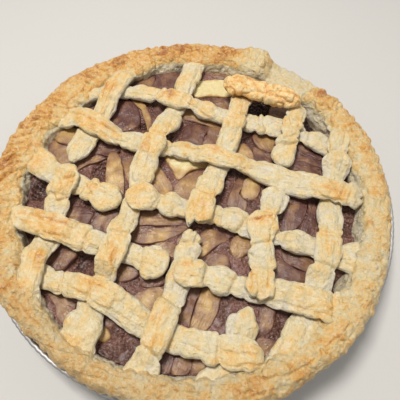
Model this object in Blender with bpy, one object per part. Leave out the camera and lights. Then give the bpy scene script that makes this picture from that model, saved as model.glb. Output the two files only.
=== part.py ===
"""A round lattice apple pie in its own pressed foil pie tin.

Origin: centre of the tin's flat bottom. +Z is up, +X runs along the B strips of the lattice
and +Y along the A strips. Lengths below are in millimetres and become metres in make_object.
"""

import math

import bmesh
import bpy
from mathutils import Vector

MM = 0.001
GAP = 0.35

# Pie tin: a 9-inch foil pan, about 238 mm over its curled lip.
TIN_BOTTOM_R = 88.0
TIN_WALL_R = 109.0
TIN_FLANGE_R = 116.4
TIN_FLANGE_Z = 27.6
TIN_WALL = 0.6
LIP_R = 1.2
TIN_SEGMENTS = 60

# Bottom crust: a shell in the tin, with a rolled rim that lies on the flange.
CRUST_SEGMENTS = 108
CRUST_FLOOR = 4.0
RIM_BASE_Z = 31.4
RIM_HEIGHT = 11.4
# The rim's outer radius every 30 degrees from +X.
RIM_OUTER = [114.6, 113.6, 112.2, 111.8, 111.6, 112.4, 113.6, 117.6, 117.4, 117.4, 120.6, 118.4]
CRIMPS = 36
WALL_TOP_Z = 32.2
WALL_LEAN = 2.6
WALL_FOOT = (93.6, 16.0)
FLOOR_EDGE_R = 84.5
GAP_FROM_DEG = 59.0
GAP_TO_DEG = 78.5
KNOB_DEG = 84.0

# Filling: heaped a little in the middle.
FILLING_SEGMENTS = 48
FILLING_TOP_Z = 35.0
FILLING_DIP = 2.4

# Heights of the lattice over the filling: (underside, top) of a strip.
FREE_Z = (36.4, 42.0)
OVER_Z = (40.5, 45.2)
UNDER_Z = (35.6, 40.1)
DOME_DROP = 1.4
DOME_R = 95.0
STRIP_WIDTH = {"free": 15.0, "over": 14.8, "under": 13.4}
CROSSING_FLAT = 8.4
CROSSING_SLOPE = 9.0
STATION = 8.0
END_STATION = 2.4
SECTION_SIDES = 8

# Each strip: the points its middle line passes through, and the shape of its two ends.
# "rim" runs up to the crust's wall, "round" and "blunt" are broken or cut ends, "point" is a
# torn tip and "knob" a ball of dough pushed up at a broken end.
STRIPS = {
    "strip_a1_upper": {
        "line": [(-64, 73), (-69, 58), (-70, 38), (-70.5, 10), (-71.5, -10)],
        "ends": ("rim", "point"),
    },
    "strip_a1_lower": {
        "line": [(-69.5, -13.5), (-68, -24), (-66, -38), (-62, -60), (-60, -76), (-57, -86)],
        "ends": ("round", "rim"),
    },
    "strip_a2": {
        "line": [(-27, 94), (-27, 68), (-27.5, 40), (-29, 18), (-29.5, 0), (-27, -25),
                 (-25.5, -42), (-25, -58), (-24.5, -80), (-24, -104)],
        "ends": ("rim", "rim"),
    },
    "strip_a3_upper": {
        "line": [(12, 76), (12.5, 50), (12.5, 28), (11.5, 4), (9.5, -18), (7.5, -28)],
        "ends": ("blunt", "point"),
    },
    "strip_a3_lower": {
        "line": [(11.5, -31.5), (11.5, -46), (13, -64), (11.5, -82), (10, -107)],
        "ends": ("blunt", "rim"),
    },
    "strip_a4_upper": {
        "line": [(48.5, 74), (47, 52), (47, 38), (47.5, 26)],
        "ends": ("blunt", "round"),
    },
    "strip_a4_middle": {
        "line": [(48.5, 9), (48, -4), (45.5, -17), (49, -31), (51.5, -46), (51.5, -56)],
        "ends": ("blunt", "blunt"),
    },
    "strip_a4_lower": {
        "line": [(50.5, -60.5), (49.5, -70), (48, -84), (44, -98)],
        "ends": ("point", "rim"),
    },
    "strip_a5": {
        "line": [(76, 64), (77, 48), (78.5, 24), (80.5, -4), (81, -34), (77.5, -58), (70, -80)],
        "ends": ("rim", "rim"),
    },
    "strip_b1": {
        "line": [(-88, 42), (-72, 50.5), (-50, 53.5), (-28, 52.5), (24, 52.5), (48, 54.5),
                 (66, 51), (84, 47)],
        "ends": ("rim", "rim"),
    },
    "strip_b2": {
        "line": [(-98, 18), (-80, 20.5), (-68, 18), (-50, 15.5), (-17, 17.5), (13, 18),
                 (40, 18.5), (56, 16.5), (76, 17), (95, 18)],
        "ends": ("rim", "blunt"),
    },
    "strip_b3_left": {
        "line": [(-98, -13.5), (-81, -19), (-57, -23), (-35.5, -26.5)],
        "ends": ("rim", "blunt"),
    },
    "strip_b3_right": {
        "line": [(-33, -21.5), (-16, -20.5), (-3, -18), (28, -17), (65, -19), (102, -18)],
        "ends": ("round", "rim"),
    },
    "strip_b4_left": {
        "line": [(-94, -46), (-80, -51), (-54, -52), (-16, -52.5), (4.5, -53.5)],
        "ends": ("rim", "knob"),
    },
    "strip_b4_right": {
        "line": [(8.5, -54.5), (31, -51.5), (64, -49.5), (78, -49), (98, -47.5)],
        "ends": ("knob", "rim"),
    },
    "strip_b5": {
        "line": [(-72, -74), (-50, -77.5), (-30, -77), (-16, -78.5), (2, -83), (22, -85),
                 (50, -83), (62, -82)],
        "ends": ("rim", "round"),
    },
}

# The lattice's weave: at each crossing, the strip that lies on top and the one below it.
CROSSINGS = [
    ("strip_a1_upper", "strip_b1"), ("strip_b2", "strip_a1_upper"),
    ("strip_a1_lower", "strip_b3_left"), ("strip_b4_left", "strip_a1_lower"),
    ("strip_a1_lower", "strip_b5"), ("strip_b1", "strip_a2"), ("strip_a2", "strip_b2"),
    ("strip_b3_right", "strip_a2"), ("strip_a2", "strip_b4_left"), ("strip_b5", "strip_a2"),
    ("strip_a3_upper", "strip_b1"), ("strip_b2", "strip_a3_upper"),
    ("strip_a3_upper", "strip_b3_right"), ("strip_b4_right", "strip_a3_lower"),
    ("strip_a3_lower", "strip_b5"), ("strip_a4_upper", "strip_b1"),
    ("strip_a4_middle", "strip_b3_right"), ("strip_a4_middle", "strip_b4_right"),
    ("strip_b5", "strip_a4_lower"), ("strip_a5", "strip_b1"), ("strip_b2", "strip_a5"),
    ("strip_a5", "strip_b3_right"), ("strip_b4_right", "strip_a5"),
]

# The section of rim that broke off and lies on the ends of two strips.
LOOSE_PIECE_FROM = (-1.5, 71.5, 46.8)
LOOSE_PIECE_TO = (48.0, 71.5, 46.4)
LOOSE_PIECE_R = (6.4, 5.2)
LOOSE_PIECE_SIDES = 12
LOOSE_PIECE_STATIONS = 16

COLOURS = {
    "foil": (0.62, 0.60, 0.58),
    "crust": (0.74, 0.53, 0.27),
    "strip": (0.80, 0.65, 0.39),
    "filling": (0.27, 0.13, 0.08),
}


def material(name, metallic=0.0, roughness=0.6, kind="strip"):
    """One Principled material, named after the sub-part that carries it."""
    made = bpy.data.materials.new(name)
    made.use_nodes = True
    shader = made.node_tree.nodes["Principled BSDF"]
    shader.inputs["Base Color"].default_value = (*COLOURS[kind], 1.0)
    shader.inputs["Metallic"].default_value = metallic
    shader.inputs["Roughness"].default_value = roughness
    return made


def make_object(name, rings, finish):
    """A closed solid from rings of points in mm: neighbours are bridged, and the ends closed."""
    mesh = bmesh.new()
    rows = [[mesh.verts.new(Vector(point) * MM) for point in ring] for ring in rings]
    sides = len(rows[0])
    for row, following in zip(rows, rows[1:]):
        for i in range(sides):
            j = (i + 1) % sides
            mesh.faces.new((row[i], row[j], following[j], following[i]))
    for row, turned in ((rows[0], True), (rows[-1], False)):
        centre = mesh.verts.new(sum((v.co for v in row), Vector()) / sides)
        for i in range(sides):
            ends = (row[i], row[(i + 1) % sides])
            mesh.faces.new((*(reversed(ends) if turned else ends), centre))
    bmesh.ops.triangulate(mesh, faces=mesh.faces[:])
    bmesh.ops.recalc_face_normals(mesh, faces=mesh.faces[:])
    data = bpy.data.meshes.new(name)
    mesh.to_mesh(data)
    mesh.free()
    data.shade_smooth()
    data.set_sharp_from_angle(angle=math.radians(50))
    data.materials.append(finish)
    made = bpy.data.objects.new(name, data)
    bpy.context.scene.collection.objects.link(made)
    return made


def revolve(profile_at, segments):
    """Rings for make_object: profile_at(angle) gives the (radius, height) points at one angle."""
    profiles = [profile_at(2 * math.pi * i / segments) for i in range(segments)]
    rings = []
    for level in range(len(profiles[0])):
        ring = []
        for i, profile in enumerate(profiles):
            angle = 2 * math.pi * i / segments
            radius, height = profile[level]
            ring.append((radius * math.cos(angle), radius * math.sin(angle), height))
        rings.append(ring)
    return rings


def smoothstep(low, high, value):
    t = min(1.0, max(0.0, (value - low) / (high - low)))
    return t * t * (3 - 2 * t)


# ---------------------------------------------------------------- pie tin

def tin_profile(_angle):
    """Outside of the bottom and wall, the flange, the curled lip, and back down inside."""
    lip_centre = (TIN_FLANGE_R + LIP_R, TIN_FLANGE_Z + LIP_R)
    lip = [
        (lip_centre[0] + LIP_R * math.cos(turn), lip_centre[1] + LIP_R * math.sin(turn))
        for turn in (math.radians(deg) for deg in range(-90, 181, 54))
    ]
    outside = [(TIN_BOTTOM_R, 0.0), (TIN_WALL_R, TIN_FLANGE_Z)]
    inside = [
        (TIN_FLANGE_R - TIN_WALL, TIN_FLANGE_Z + TIN_WALL),
        (TIN_WALL_R - TIN_WALL, TIN_FLANGE_Z + TIN_WALL),
        (TIN_BOTTOM_R - TIN_WALL, TIN_WALL),
    ]
    return outside + lip + inside


def tin_wall_inside(height):
    """Radius of the tin's inner wall at a height."""
    rise = (height - TIN_WALL) / TIN_FLANGE_Z
    return TIN_BOTTOM_R - TIN_WALL + rise * (TIN_WALL_R - TIN_BOTTOM_R)


# ---------------------------------------------------------------- bottom crust

def rim_inner(angle):
    """Radius of the rolled rim's inner edge. The rim is hand-made and lies off centre."""
    shifted = 5.4 * math.cos(angle + math.radians(78))
    return 98.8 + shifted - 1.8 * math.cos(2 * angle)


def rim_outer(angle):
    """Radius of the rolled rim's outer edge, before its crimps."""
    place = math.degrees(angle) % 360 / 30
    before = int(place)
    start, end = RIM_OUTER[before % 12], RIM_OUTER[(before + 1) % 12]
    knob = 4.0 * bump(math.degrees(angle), KNOB_DEG, 9.0)
    ledge = 2.2 * (1 - rim_presence(angle))
    return start + (end - start) * smoothstep(0, 1, place - before) + knob + ledge


def bump(value, middle, half_width):
    """1 at the middle, falling smoothly to 0 at half_width on either side."""
    return 1 - smoothstep(0, half_width, abs(value - middle))


def rim_presence(angle):
    """1 where the roll is whole, 0 in the gap that a section broke out of."""
    deg = math.degrees(angle)
    inside_gap = smoothstep(GAP_FROM_DEG - 2, GAP_FROM_DEG + 3, deg)
    return 1 - inside_gap * (1 - smoothstep(GAP_TO_DEG - 3, GAP_TO_DEG + 2, deg))


def crimp_strength(angle):
    """The diagonal crimps are deep on the far and left sides and shallow elsewhere."""
    return 0.35 + 0.65 * smoothstep(-0.3, 0.5, math.cos(angle - math.radians(145)))


def wall_inside(angle, height):
    """Radius of the crust's inner wall, between its foot and the filling's surface."""
    rise = (height - WALL_FOOT[1]) / (WALL_TOP_Z - WALL_FOOT[1])
    return WALL_FOOT[0] + rise * (rim_inner(angle) - WALL_LEAN - WALL_FOOT[0])


# The roll's outline: across its width (-1 at its inner edge) and up its height.
ROLL_OUTLINE = [(1.0, 0.12), (1.0, 0.45), (0.8, 0.78), (0.4, 0.96), (-0.05, 1.0),
                (-0.5, 0.94), (-0.83, 0.78), (-1.0, 0.56)]


def crust_profile(angle):
    """Underside in the tin and on the flange, over the roll, and down inside to the floor."""
    inner = rim_inner(angle)
    outer = rim_outer(angle)
    whole = rim_presence(angle)
    tall = RIM_HEIGHT * (0.36 + 0.64 * whole) + 1.2 * bump(math.degrees(angle), KNOB_DEG, 9.0)
    middle = (inner + outer) / 2
    half = (outer - inner) / 2
    clear = GAP + 0.15
    floor = TIN_WALL + GAP
    shelf = TIN_FLANGE_Z + TIN_WALL + GAP
    points = [
        (tin_wall_inside(floor) - clear, floor),
        (tin_wall_inside(shelf) - clear, shelf),
        (min(outer - 1.4, TIN_FLANGE_R - TIN_WALL - 2 * GAP), shelf),
    ]
    for across, up in ROLL_OUTLINE:
        swell = 0.055 * crimp_strength(angle) * whole * math.sin(CRIMPS * angle + 2.2 * across)
        radius = middle + half * across * (1 + 0.5 * swell)
        points.append((radius, RIM_BASE_Z + tall * up * (1 + swell)))
    points += [
        (wall_inside(angle, WALL_TOP_Z), WALL_TOP_Z),
        WALL_FOOT,
        (FLOOR_EDGE_R, floor + CRUST_FLOOR),
    ]
    return points


# ---------------------------------------------------------------- apple filling

def dome(x, y):
    """How far the filling and the lattice drop from the middle towards the rim."""
    return DOME_DROP * (x * x + y * y) / DOME_R**2


def filling_top(x, y):
    """Height of the filling's uneven surface of sliced apple and sauce."""
    waves = math.sin(0.19 * x + 0.9) * math.sin(0.23 * y - 0.4)
    ripple = math.sin(0.37 * x - 0.21 * y) * math.cos(0.16 * x + 0.33 * y)
    dip = FILLING_DIP * (0.5 + 0.32 * waves + 0.18 * ripple)
    return FILLING_TOP_Z - dip - dome(x, y)


def filling_profile(angle):
    """Underside on the crust's floor, up its wall, and over the uneven top."""
    floor = TIN_WALL + 2 * GAP + CRUST_FLOOR
    edge_z = WALL_TOP_Z - 1.2
    edge = wall_inside(angle, edge_z) - 1.2 * GAP
    points = [
        (FLOOR_EDGE_R - GAP, floor),
        (WALL_FOOT[0] - GAP, WALL_FOOT[1] + 0.2),
        (edge, edge_z),
    ]
    for share in (0.99, 0.84, 0.68, 0.52, 0.35, 0.17):
        radius = edge * share
        height = filling_top(radius * math.cos(angle), radius * math.sin(angle))
        points.append((radius, max(height, edge_z + 0.1)))
    return points


# ---------------------------------------------------------------- lattice strips

def curve_through(points, per_span=16):
    """A smooth line through the points, as closely spaced (x, y) samples."""
    ends = [2 * Vector(points[0]) - Vector(points[1]), 2 * Vector(points[-1]) - Vector(points[-2])]
    knots = [ends[0]] + [Vector(point) for point in points] + [ends[1]]
    line = []
    for a, b, c, d in zip(knots, knots[1:], knots[2:], knots[3:]):
        for i in range(per_span):
            t = i / per_span
            bend = (3 * (b - c) + d - a) * t**3 + (2 * a - 5 * b + 4 * c - d) * t**2
            line.append(b + 0.5 * ((c - a) * t + bend))
    line.append(Vector(points[-1]))
    return line


def inside_rim(point):
    return point.length < rim_inner(math.atan2(point.y, point.x)) - GAP


def middle_line(strip):
    """The strip's middle line, cut off where it would run into the crust's wall."""
    return [point for point in curve_through(strip["line"]) if inside_rim(point)]


def lengths_along(line):
    total = [0.0]
    for a, b in zip(line, line[1:]):
        total.append(total[-1] + (b - a).length)
    return total


def crossing_places(name, lines):
    """(distance along this strip, "over" or "under") for each crossing that it takes part in."""
    places = []
    along = lengths_along(lines[name])
    for top, below in CROSSINGS:
        if name not in (top, below):
            continue
        other = lines[below if name == top else top]
        gaps = [min((point - mate).length for mate in other) for point in lines[name]]
        nearest = min(range(len(gaps)), key=gaps.__getitem__)
        places.append((along[nearest], "over" if name == top else "under"))
    return places


def mix_at(distance, places):
    """Shares of "free", "over" and "under" in the strip's section at one distance along it."""
    share = {"free": 0.0, "over": 0.0, "under": 0.0}
    for place, side in places:
        away = abs(distance - place) - CROSSING_FLAT
        share[side] += 1 - smoothstep(0, CROSSING_SLOPE, away)
    share["free"] = max(0.0, 1 - share["over"] - share["under"])
    total = sum(share.values())
    return {side: part / total for side, part in share.items()}


def end_scale(distance, length, ends):
    """Width and thickness factor near the strip's two ends."""
    scale = 1.0
    for away, end in ((distance, ends[0]), (length - distance, ends[1])):
        if end == "point":
            scale = min(scale, 0.22 + 0.78 * smoothstep(-3, 9, away))
        elif end == "round":
            scale = min(scale, 0.45 + 0.55 * math.sqrt(min(1.0, away / 6)))
        elif end == "knob":
            swollen = 1 + 0.18 * (1 - smoothstep(10, 18, away))
            scale = min(scale, 1.0) * swollen * (0.45 + 0.55 * math.sqrt(min(1.0, away / 7)))
        elif end == "blunt":
            scale = min(scale, 0.8 + 0.2 * math.sqrt(min(1.0, away / 3)))
    return scale


def held_inside(x, y, z):
    """Moves a corner of a strip's end back from the crust's sloping inner wall."""
    angle = math.atan2(y, x)
    wall_z = RIM_BASE_Z + 0.56 * RIM_HEIGHT
    slope = WALL_LEAN / (wall_z - WALL_TOP_Z)
    limit = rim_inner(angle) - slope * max(0.0, wall_z - z) - 2 * GAP
    radius = math.hypot(x, y)
    pull = min(1.0, limit / radius)
    return (x * pull, y * pull, z)


def strip_sections(name, lines):
    """Rounded cross-sections along one strip, at even stations."""
    strip = STRIPS[name]
    line = lines[name]
    along = lengths_along(line)
    places = crossing_places(name, lines)
    steps = max(3, round(along[-1] / STATION))
    # One extra station at each end closes it off smoothly.
    stops = [0.0, END_STATION] + [along[-1] * i / steps for i in range(1, steps)]
    stops += [along[-1] - END_STATION, along[-1]]
    rings = []
    for stop in stops:
        i = max(1, next((k for k, far in enumerate(along) if far >= stop), len(along) - 1))
        part = (stop - along[i - 1]) / (along[i] - along[i - 1])
        centre = line[i - 1].lerp(line[i], part)
        ahead = (line[i] - line[i - 1]).normalized()
        across = Vector((-ahead.y, ahead.x))
        share = mix_at(stop, places)
        heights = {"free": FREE_Z, "over": OVER_Z, "under": UNDER_Z}
        low = sum(share[side] * heights[side][0] for side in share)
        high = sum(share[side] * heights[side][1] for side in share)
        width = sum(share[side] * STRIP_WIDTH[side] for side in share)
        scale = end_scale(stop, along[-1], strip["ends"])
        half_thick = (high - low) / 2 * (0.4 + 0.6 * min(scale, 1.0))
        mid = (high + low) / 2 - dome(centre.x, centre.y)
        ring = []
        for k in range(SECTION_SIDES):
            turn = 2 * math.pi * (k + 0.5) / SECTION_SIDES
            side = math.copysign(abs(math.cos(turn)) ** 0.7, math.cos(turn))
            up = math.copysign(abs(math.sin(turn)) ** 0.7, math.sin(turn))
            place = centre + across * (width / 2 * scale * side)
            ring.append(held_inside(place.x, place.y, mid + half_thick * up))
        rings.append(ring)
    return rings


# ---------------------------------------------------------------- loose rim piece

def loose_piece_sections():
    """A short, lumpy log with rounded ends."""
    start = Vector(LOOSE_PIECE_FROM)
    end = Vector(LOOSE_PIECE_TO)
    rings = []
    for i in range(LOOSE_PIECE_STATIONS + 1):
        t = i / LOOSE_PIECE_STATIONS
        centre = start.lerp(end, t)
        close = math.sqrt(max(0.12, 1 - (2 * t - 1) ** 6))
        lump = 1 + 0.09 * math.sin(9.5 * t + 0.6)
        ring = []
        for k in range(LOOSE_PIECE_SIDES):
            turn = 2 * math.pi * k / LOOSE_PIECE_SIDES
            rough = lump * (1 + 0.05 * math.sin(3 * turn + 7 * t))
            y = centre.y + LOOSE_PIECE_R[0] * close * rough * math.cos(turn)
            z = centre.z + LOOSE_PIECE_R[1] * close * min(rough, 1.05) * math.sin(turn)
            ring.append((centre.x, y, z))
        rings.append(ring)
    return rings


def build():
    for old in list(bpy.data.objects):
        bpy.data.objects.remove(old)
    foil = material("pie_tin", metallic=1.0, roughness=0.35, kind="foil")
    make_object("pie_tin", revolve(tin_profile, TIN_SEGMENTS), foil)
    crust = material("bottom_crust", roughness=0.7, kind="crust")
    make_object("bottom_crust", revolve(crust_profile, CRUST_SEGMENTS), crust)
    filling = material("apple_filling", roughness=0.3, kind="filling")
    make_object("apple_filling", revolve(filling_profile, FILLING_SEGMENTS), filling)
    lines = {name: middle_line(strip) for name, strip in STRIPS.items()}
    for name in STRIPS:
        make_object(name, strip_sections(name, lines), material(name))
    loose = material("loose_rim_piece", roughness=0.7, kind="crust")
    make_object("loose_rim_piece", loose_piece_sections(), loose)


build()
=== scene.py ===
"""Looks of a lattice apple pie in its foil tin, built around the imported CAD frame.

Lengths in the constants are millimetres in the frame's own axes: origin at the centre of the
tin's flat bottom, +Z up, +X along the B strips and +Y along the A strips of the lattice.
"""

import math

import bpy
import numpy as np
from mathutils import Matrix, Vector


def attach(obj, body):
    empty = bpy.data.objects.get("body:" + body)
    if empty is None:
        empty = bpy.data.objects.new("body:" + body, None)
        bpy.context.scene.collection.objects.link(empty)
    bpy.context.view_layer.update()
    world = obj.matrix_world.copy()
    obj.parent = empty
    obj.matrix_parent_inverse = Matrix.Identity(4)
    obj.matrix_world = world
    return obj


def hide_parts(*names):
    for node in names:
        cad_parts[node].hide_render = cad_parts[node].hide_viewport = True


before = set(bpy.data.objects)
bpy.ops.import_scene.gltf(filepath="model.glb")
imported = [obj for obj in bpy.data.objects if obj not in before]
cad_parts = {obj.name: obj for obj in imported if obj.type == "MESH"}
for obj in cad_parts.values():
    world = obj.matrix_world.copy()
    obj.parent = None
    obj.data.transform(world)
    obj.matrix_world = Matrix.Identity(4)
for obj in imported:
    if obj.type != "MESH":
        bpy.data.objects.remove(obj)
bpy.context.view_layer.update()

MM = 0.001
SEED = 41

# ---------------------------------------------------------------- sizes shared with the CAD model

TIN_BOTTOM_R = 88.0
TIN_WALL_R = 109.0
TIN_FLANGE_R = 116.4
TIN_FLANGE_Z = 27.6
TIN_WALL = 0.6
LIP_R = 1.2

RIM_BASE_Z = 31.4
RIM_HEIGHT = 11.4
# The rim's outer radius every 30 degrees from +X.
RIM_OUTER = [114.6, 113.6, 112.2, 111.8, 111.6, 112.4, 113.6, 117.6, 117.4, 117.4, 120.6, 118.4]
WALL_TOP_Z = 32.2
WALL_LEAN = 2.6
WALL_FOOT = (93.6, 16.0)
FLOOR_EDGE_R = 84.5
CRUST_FLOOR = 4.0
GAP_FROM_DEG = 59.0
GAP_TO_DEG = 78.5
KNOB_DEG = 84.0
ROLL_OUTLINE = [(1.0, 0.12), (1.0, 0.45), (0.8, 0.78), (0.4, 0.96), (-0.05, 1.0),
                (-0.5, 0.94), (-0.83, 0.78), (-1.0, 0.56)]

# Bottom and top of a strip at the pie's middle, where it is free, crosses over or crosses under.
STRIP_LEVELS = {"free": (36.4, 42.0), "over": (40.5, 45.2), "under": (35.6, 40.1)}
DOME_DROP = 1.4
DOME_R = 95.0
STRIP_WIDTH = {"free": 15.0, "over": 14.8, "under": 13.4}
CROSSING_FLAT = 8.4
CROSSING_SLOPE = 9.0
RIM_REACH = 14.0

STRIPS = {
    "strip_a1_upper": {
        "line": [(-65, 74), (-68, 58), (-68.7, 40), (-69.5, 28), (-71.5, 12), (-71.5, -10)],
        "ends": ("rim", "point"),
    },
    "strip_a1_lower": {
        "line": [(-69.5, -13.5), (-68, -24), (-66, -38), (-62, -60), (-60, -76), (-57, -86)],
        "ends": ("round", "rim"),
    },
    "strip_a2": {
        "line": [(-27, 94), (-27, 68), (-27.5, 40), (-29, 18), (-29.5, 0), (-27, -25),
                 (-25.5, -42), (-25, -58), (-24.5, -80), (-24, -104)],
        "ends": ("rim", "rim"),
    },
    "strip_a3_upper": {
        "line": [(12, 76), (12.5, 50), (12.5, 28), (11.5, 4), (10.5, -14), (10.2, -26)],
        "ends": ("blunt", "blunt"),
    },
    "strip_a3_lower": {
        "line": [(11.5, -31.5), (11.5, -46), (13, -64), (11.5, -82), (10, -107)],
        "ends": ("blunt", "rim"),
    },
    "strip_a4_upper": {
        "line": [(48.5, 74), (47, 52), (47, 38), (47.5, 26)],
        "ends": ("blunt", "round"),
    },
    "strip_a4_middle": {
        "line": [(48.5, 9), (48, -4), (45.5, -17), (49, -31), (51.5, -46), (51.5, -56)],
        "ends": ("blunt", "blunt"),
    },
    "strip_a4_lower": {
        "line": [(50.5, -60.5), (49.5, -70), (48, -84), (44, -98)],
        "ends": ("point", "rim"),
    },
    "strip_a5": {
        "line": [(76, 64), (77, 48), (78.5, 24), (80.5, -4), (81, -34), (78, -58), (72.5, -80)],
        "ends": ("rim", "rim"),
    },
    "strip_b1": {
        "line": [(-88, 42), (-72, 50.5), (-50, 53.5), (-28, 52.5), (24, 52.5), (48, 54.5),
                 (66, 51), (84, 47)],
        "ends": ("rim", "rim"),
    },
    "strip_b2": {
        "line": [(-98, 18), (-80, 20.5), (-68, 18), (-50, 15.5), (-17, 17.5), (13, 18),
                 (40, 18.5), (56, 16.5), (76, 17), (95, 18)],
        "ends": ("rim", "blunt"),
    },
    "strip_b3_left": {
        "line": [(-98, -13.5), (-81, -19), (-57, -23), (-33.5, -27)],
        "ends": ("rim", "round"),
    },
    "strip_b3_right": {
        "line": [(-31, -21.5), (-16, -20.5), (-3, -18), (28, -17), (65, -19), (102, -18)],
        "ends": ("round", "rim"),
    },
    "strip_b4_left": {
        "line": [(-94, -46), (-80, -51), (-54, -52), (-16, -52.5), (4.5, -53.5)],
        "ends": ("rim", "knob"),
    },
    "strip_b4_right": {
        "line": [(8.5, -54.5), (31, -51.5), (64, -49.5), (78, -49), (98, -47.5)],
        "ends": ("knob", "rim"),
    },
    "strip_b5": {
        "line": [(-72, -74), (-50, -77.5), (-30, -77), (-16, -78.5), (2, -83), (22, -85),
                 (50, -83), (62, -82)],
        "ends": ("rim", "round"),
    },
}

CROSSINGS = [
    ("strip_a1_upper", "strip_b1"), ("strip_b2", "strip_a1_upper"),
    ("strip_a1_lower", "strip_b3_left"), ("strip_b4_left", "strip_a1_lower"),
    ("strip_a1_lower", "strip_b5"), ("strip_b1", "strip_a2"), ("strip_a2", "strip_b2"),
    ("strip_b3_right", "strip_a2"), ("strip_a2", "strip_b4_left"), ("strip_b5", "strip_a2"),
    ("strip_a3_upper", "strip_b1"), ("strip_b2", "strip_a3_upper"),
    ("strip_a3_upper", "strip_b3_right"), ("strip_b4_right", "strip_a3_lower"),
    ("strip_a3_lower", "strip_b5"), ("strip_a4_upper", "strip_b1"),
    ("strip_a4_middle", "strip_b3_right"), ("strip_a4_middle", "strip_b4_right"),
    ("strip_b5", "strip_a4_lower"), ("strip_a5", "strip_b1"), ("strip_b2", "strip_a5"),
    ("strip_a5", "strip_b3_right"), ("strip_b4_right", "strip_a5"),
]

LOOSE_PIECE_FROM = (-1.5, 71.5, 46.8)
LOOSE_PIECE_TO = (48.0, 71.5, 46.4)
LOOSE_PIECE_R = (6.4, 5.2)

CRUST_UNDER = TIN_WALL + 0.35
CRUST_SHELF = TIN_FLANGE_Z + TIN_WALL + 0.35
WALL_GAP = 0.5
WALL_CUT_Z = WALL_TOP_Z - 2.5

SAUCE_Z = 33.6
SAUCE_FOOT = (84.0, 6.0)
SLICE_Z = 34.7
SLICE_FOOT_Z = 24.0

# The photograph's azimuth, elevation and roll in degrees, what it looks at and from how far.
CAMERA_ANGLES = (16.27, 61.79, 1.61)
LOOK_AT = (2.7, 9.1, 0.0)
CAMERA_DISTANCE = 269.0

# ---------------------------------------------------------------- fineness of the meshes

STRIP_STEP = 0.65
STRIP_SIDES = 60
RIM_SEGMENTS = 1320
ROLL_STEPS = 52
INTO_RIM = 6.0
WALL_STEPS = 10
LOOSE_ROWS, LOOSE_SIDES = 130, 84
SAUCE_RINGS, SAUCE_SEGMENTS = 150, 520
SLICE_STEP = 0.9
SLICE_RINGS = 20
TIN_SEGMENTS = 720

# ---------------------------------------------------------------- the strips' uneven edges

# (place, share of the strip's usual width). A place is y on an A strip and x on a B strip.
WIDTHS = {
    "strip_a1_upper": [(70, 0.9), (50, 0.86), (34, 0.92), (10, 1.12), (-4, 1.05)],
    "strip_a1_lower": [(-16, 1.0), (-33, 1.0), (-44, 0.95), (-60, 1.1), (-68, 0.98), (-78, 0.74)],
    "strip_a2": [(80, 0.95), (66, 0.88), (56, 0.95), (44, 0.88), (36, 1.02), (26, 0.82), (18, 1.0),
                 (9, 0.9), (-2, 1.0), (-10, 0.95), (-15, 0.78), (-30, 0.82), (-40, 0.98),
                 (-52, 1.06), (-63, 0.85), (-72, 0.9), (-86, 1.05), (-93, 1.15), (-100, 1.15)],
    "strip_a3_upper": [(70, 0.9), (50, 0.9), (34, 0.84), (27, 0.88), (2, 1.0), (-18, 0.98)],
    "strip_a3_lower": [(-31, 0.6), (-36, 0.64), (-39, 0.98), (-46, 0.95), (-56, 1.0), (-63, 0.9),
                       (-74, 1.0), (-92, 0.95)],
    "strip_a4_upper": [(72, 0.85), (62, 0.84), (54, 0.92), (47, 0.82), (42, 1.02), (36, 0.9),
                       (28, 1.0)],
    "strip_a4_middle": [(9, 1.0), (0, 0.98), (-8, 0.8), (-16, 1.12), (-24, 0.88), (-32, 1.0),
                        (-40, 0.9), (-48, 1.1), (-56, 1.0)],
    "strip_a4_lower": [(-60, 0.9), (-72, 1.08), (-90, 1.0)],
    "strip_a5": [(60, 0.92), (50, 0.88), (36, 1.02), (24, 0.95), (2, 0.95), (-8, 0.95), (-18, 1.05),
                 (-28, 0.88), (-36, 1.05), (-58, 1.0), (-70, 1.0), (-80, 0.95)],
    "strip_b1": [(-80, 0.9), (-55, 0.74), (-42, 0.74), (-30, 0.92), (-18, 0.76), (0, 0.76),
                 (24, 1.02), (36, 1.08), (58, 0.9), (70, 0.95)],
    "strip_b2": [(-96, 1.0), (-70, 1.0), (-56, 0.9), (-50, 0.78), (-42, 1.0), (-20, 0.8),
                 (-12, 0.74), (-2, 0.76), (10, 0.8), (20, 0.78), (27, 0.72), (38, 0.98), (46, 1.05),
                 (60, 1.08), (74, 1.0), (86, 1.1)],
    "strip_b3_left": [(-96, 1.15), (-80, 1.0), (-58, 1.02), (-50, 0.9), (-42, 1.1), (-36, 1.0)],
    "strip_b3_right": [(-30, 1.05), (-22, 1.12), (-14, 0.8), (-6, 0.98), (2, 0.9), (24, 0.86),
                       (34, 1.05), (44, 1.0), (57, 0.78), (64, 0.95), (74, 0.9), (95, 1.1)],
    "strip_b4_left": [(-90, 0.78), (-80, 0.8), (-68, 0.92), (-56, 1.04), (-44, 1.14), (-34, 1.06),
                      (-18, 0.94), (-11, 0.86), (-2, 1.1)],
    "strip_b4_right": [(12, 1.1), (18, 0.88), (26, 0.98), (34, 0.98), (40, 0.9), (60, 1.1),
                       (70, 1.06), (84, 1.08)],
    "strip_b5": [(-70, 0.9), (-48, 0.84), (-36, 0.95), (-28, 0.8), (-20, 1.06), (-8, 1.12),
                 (2, 1.0), (22, 1.0), (31, 0.84), (38, 1.04), (50, 1.05), (60, 1.0)],
}

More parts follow.
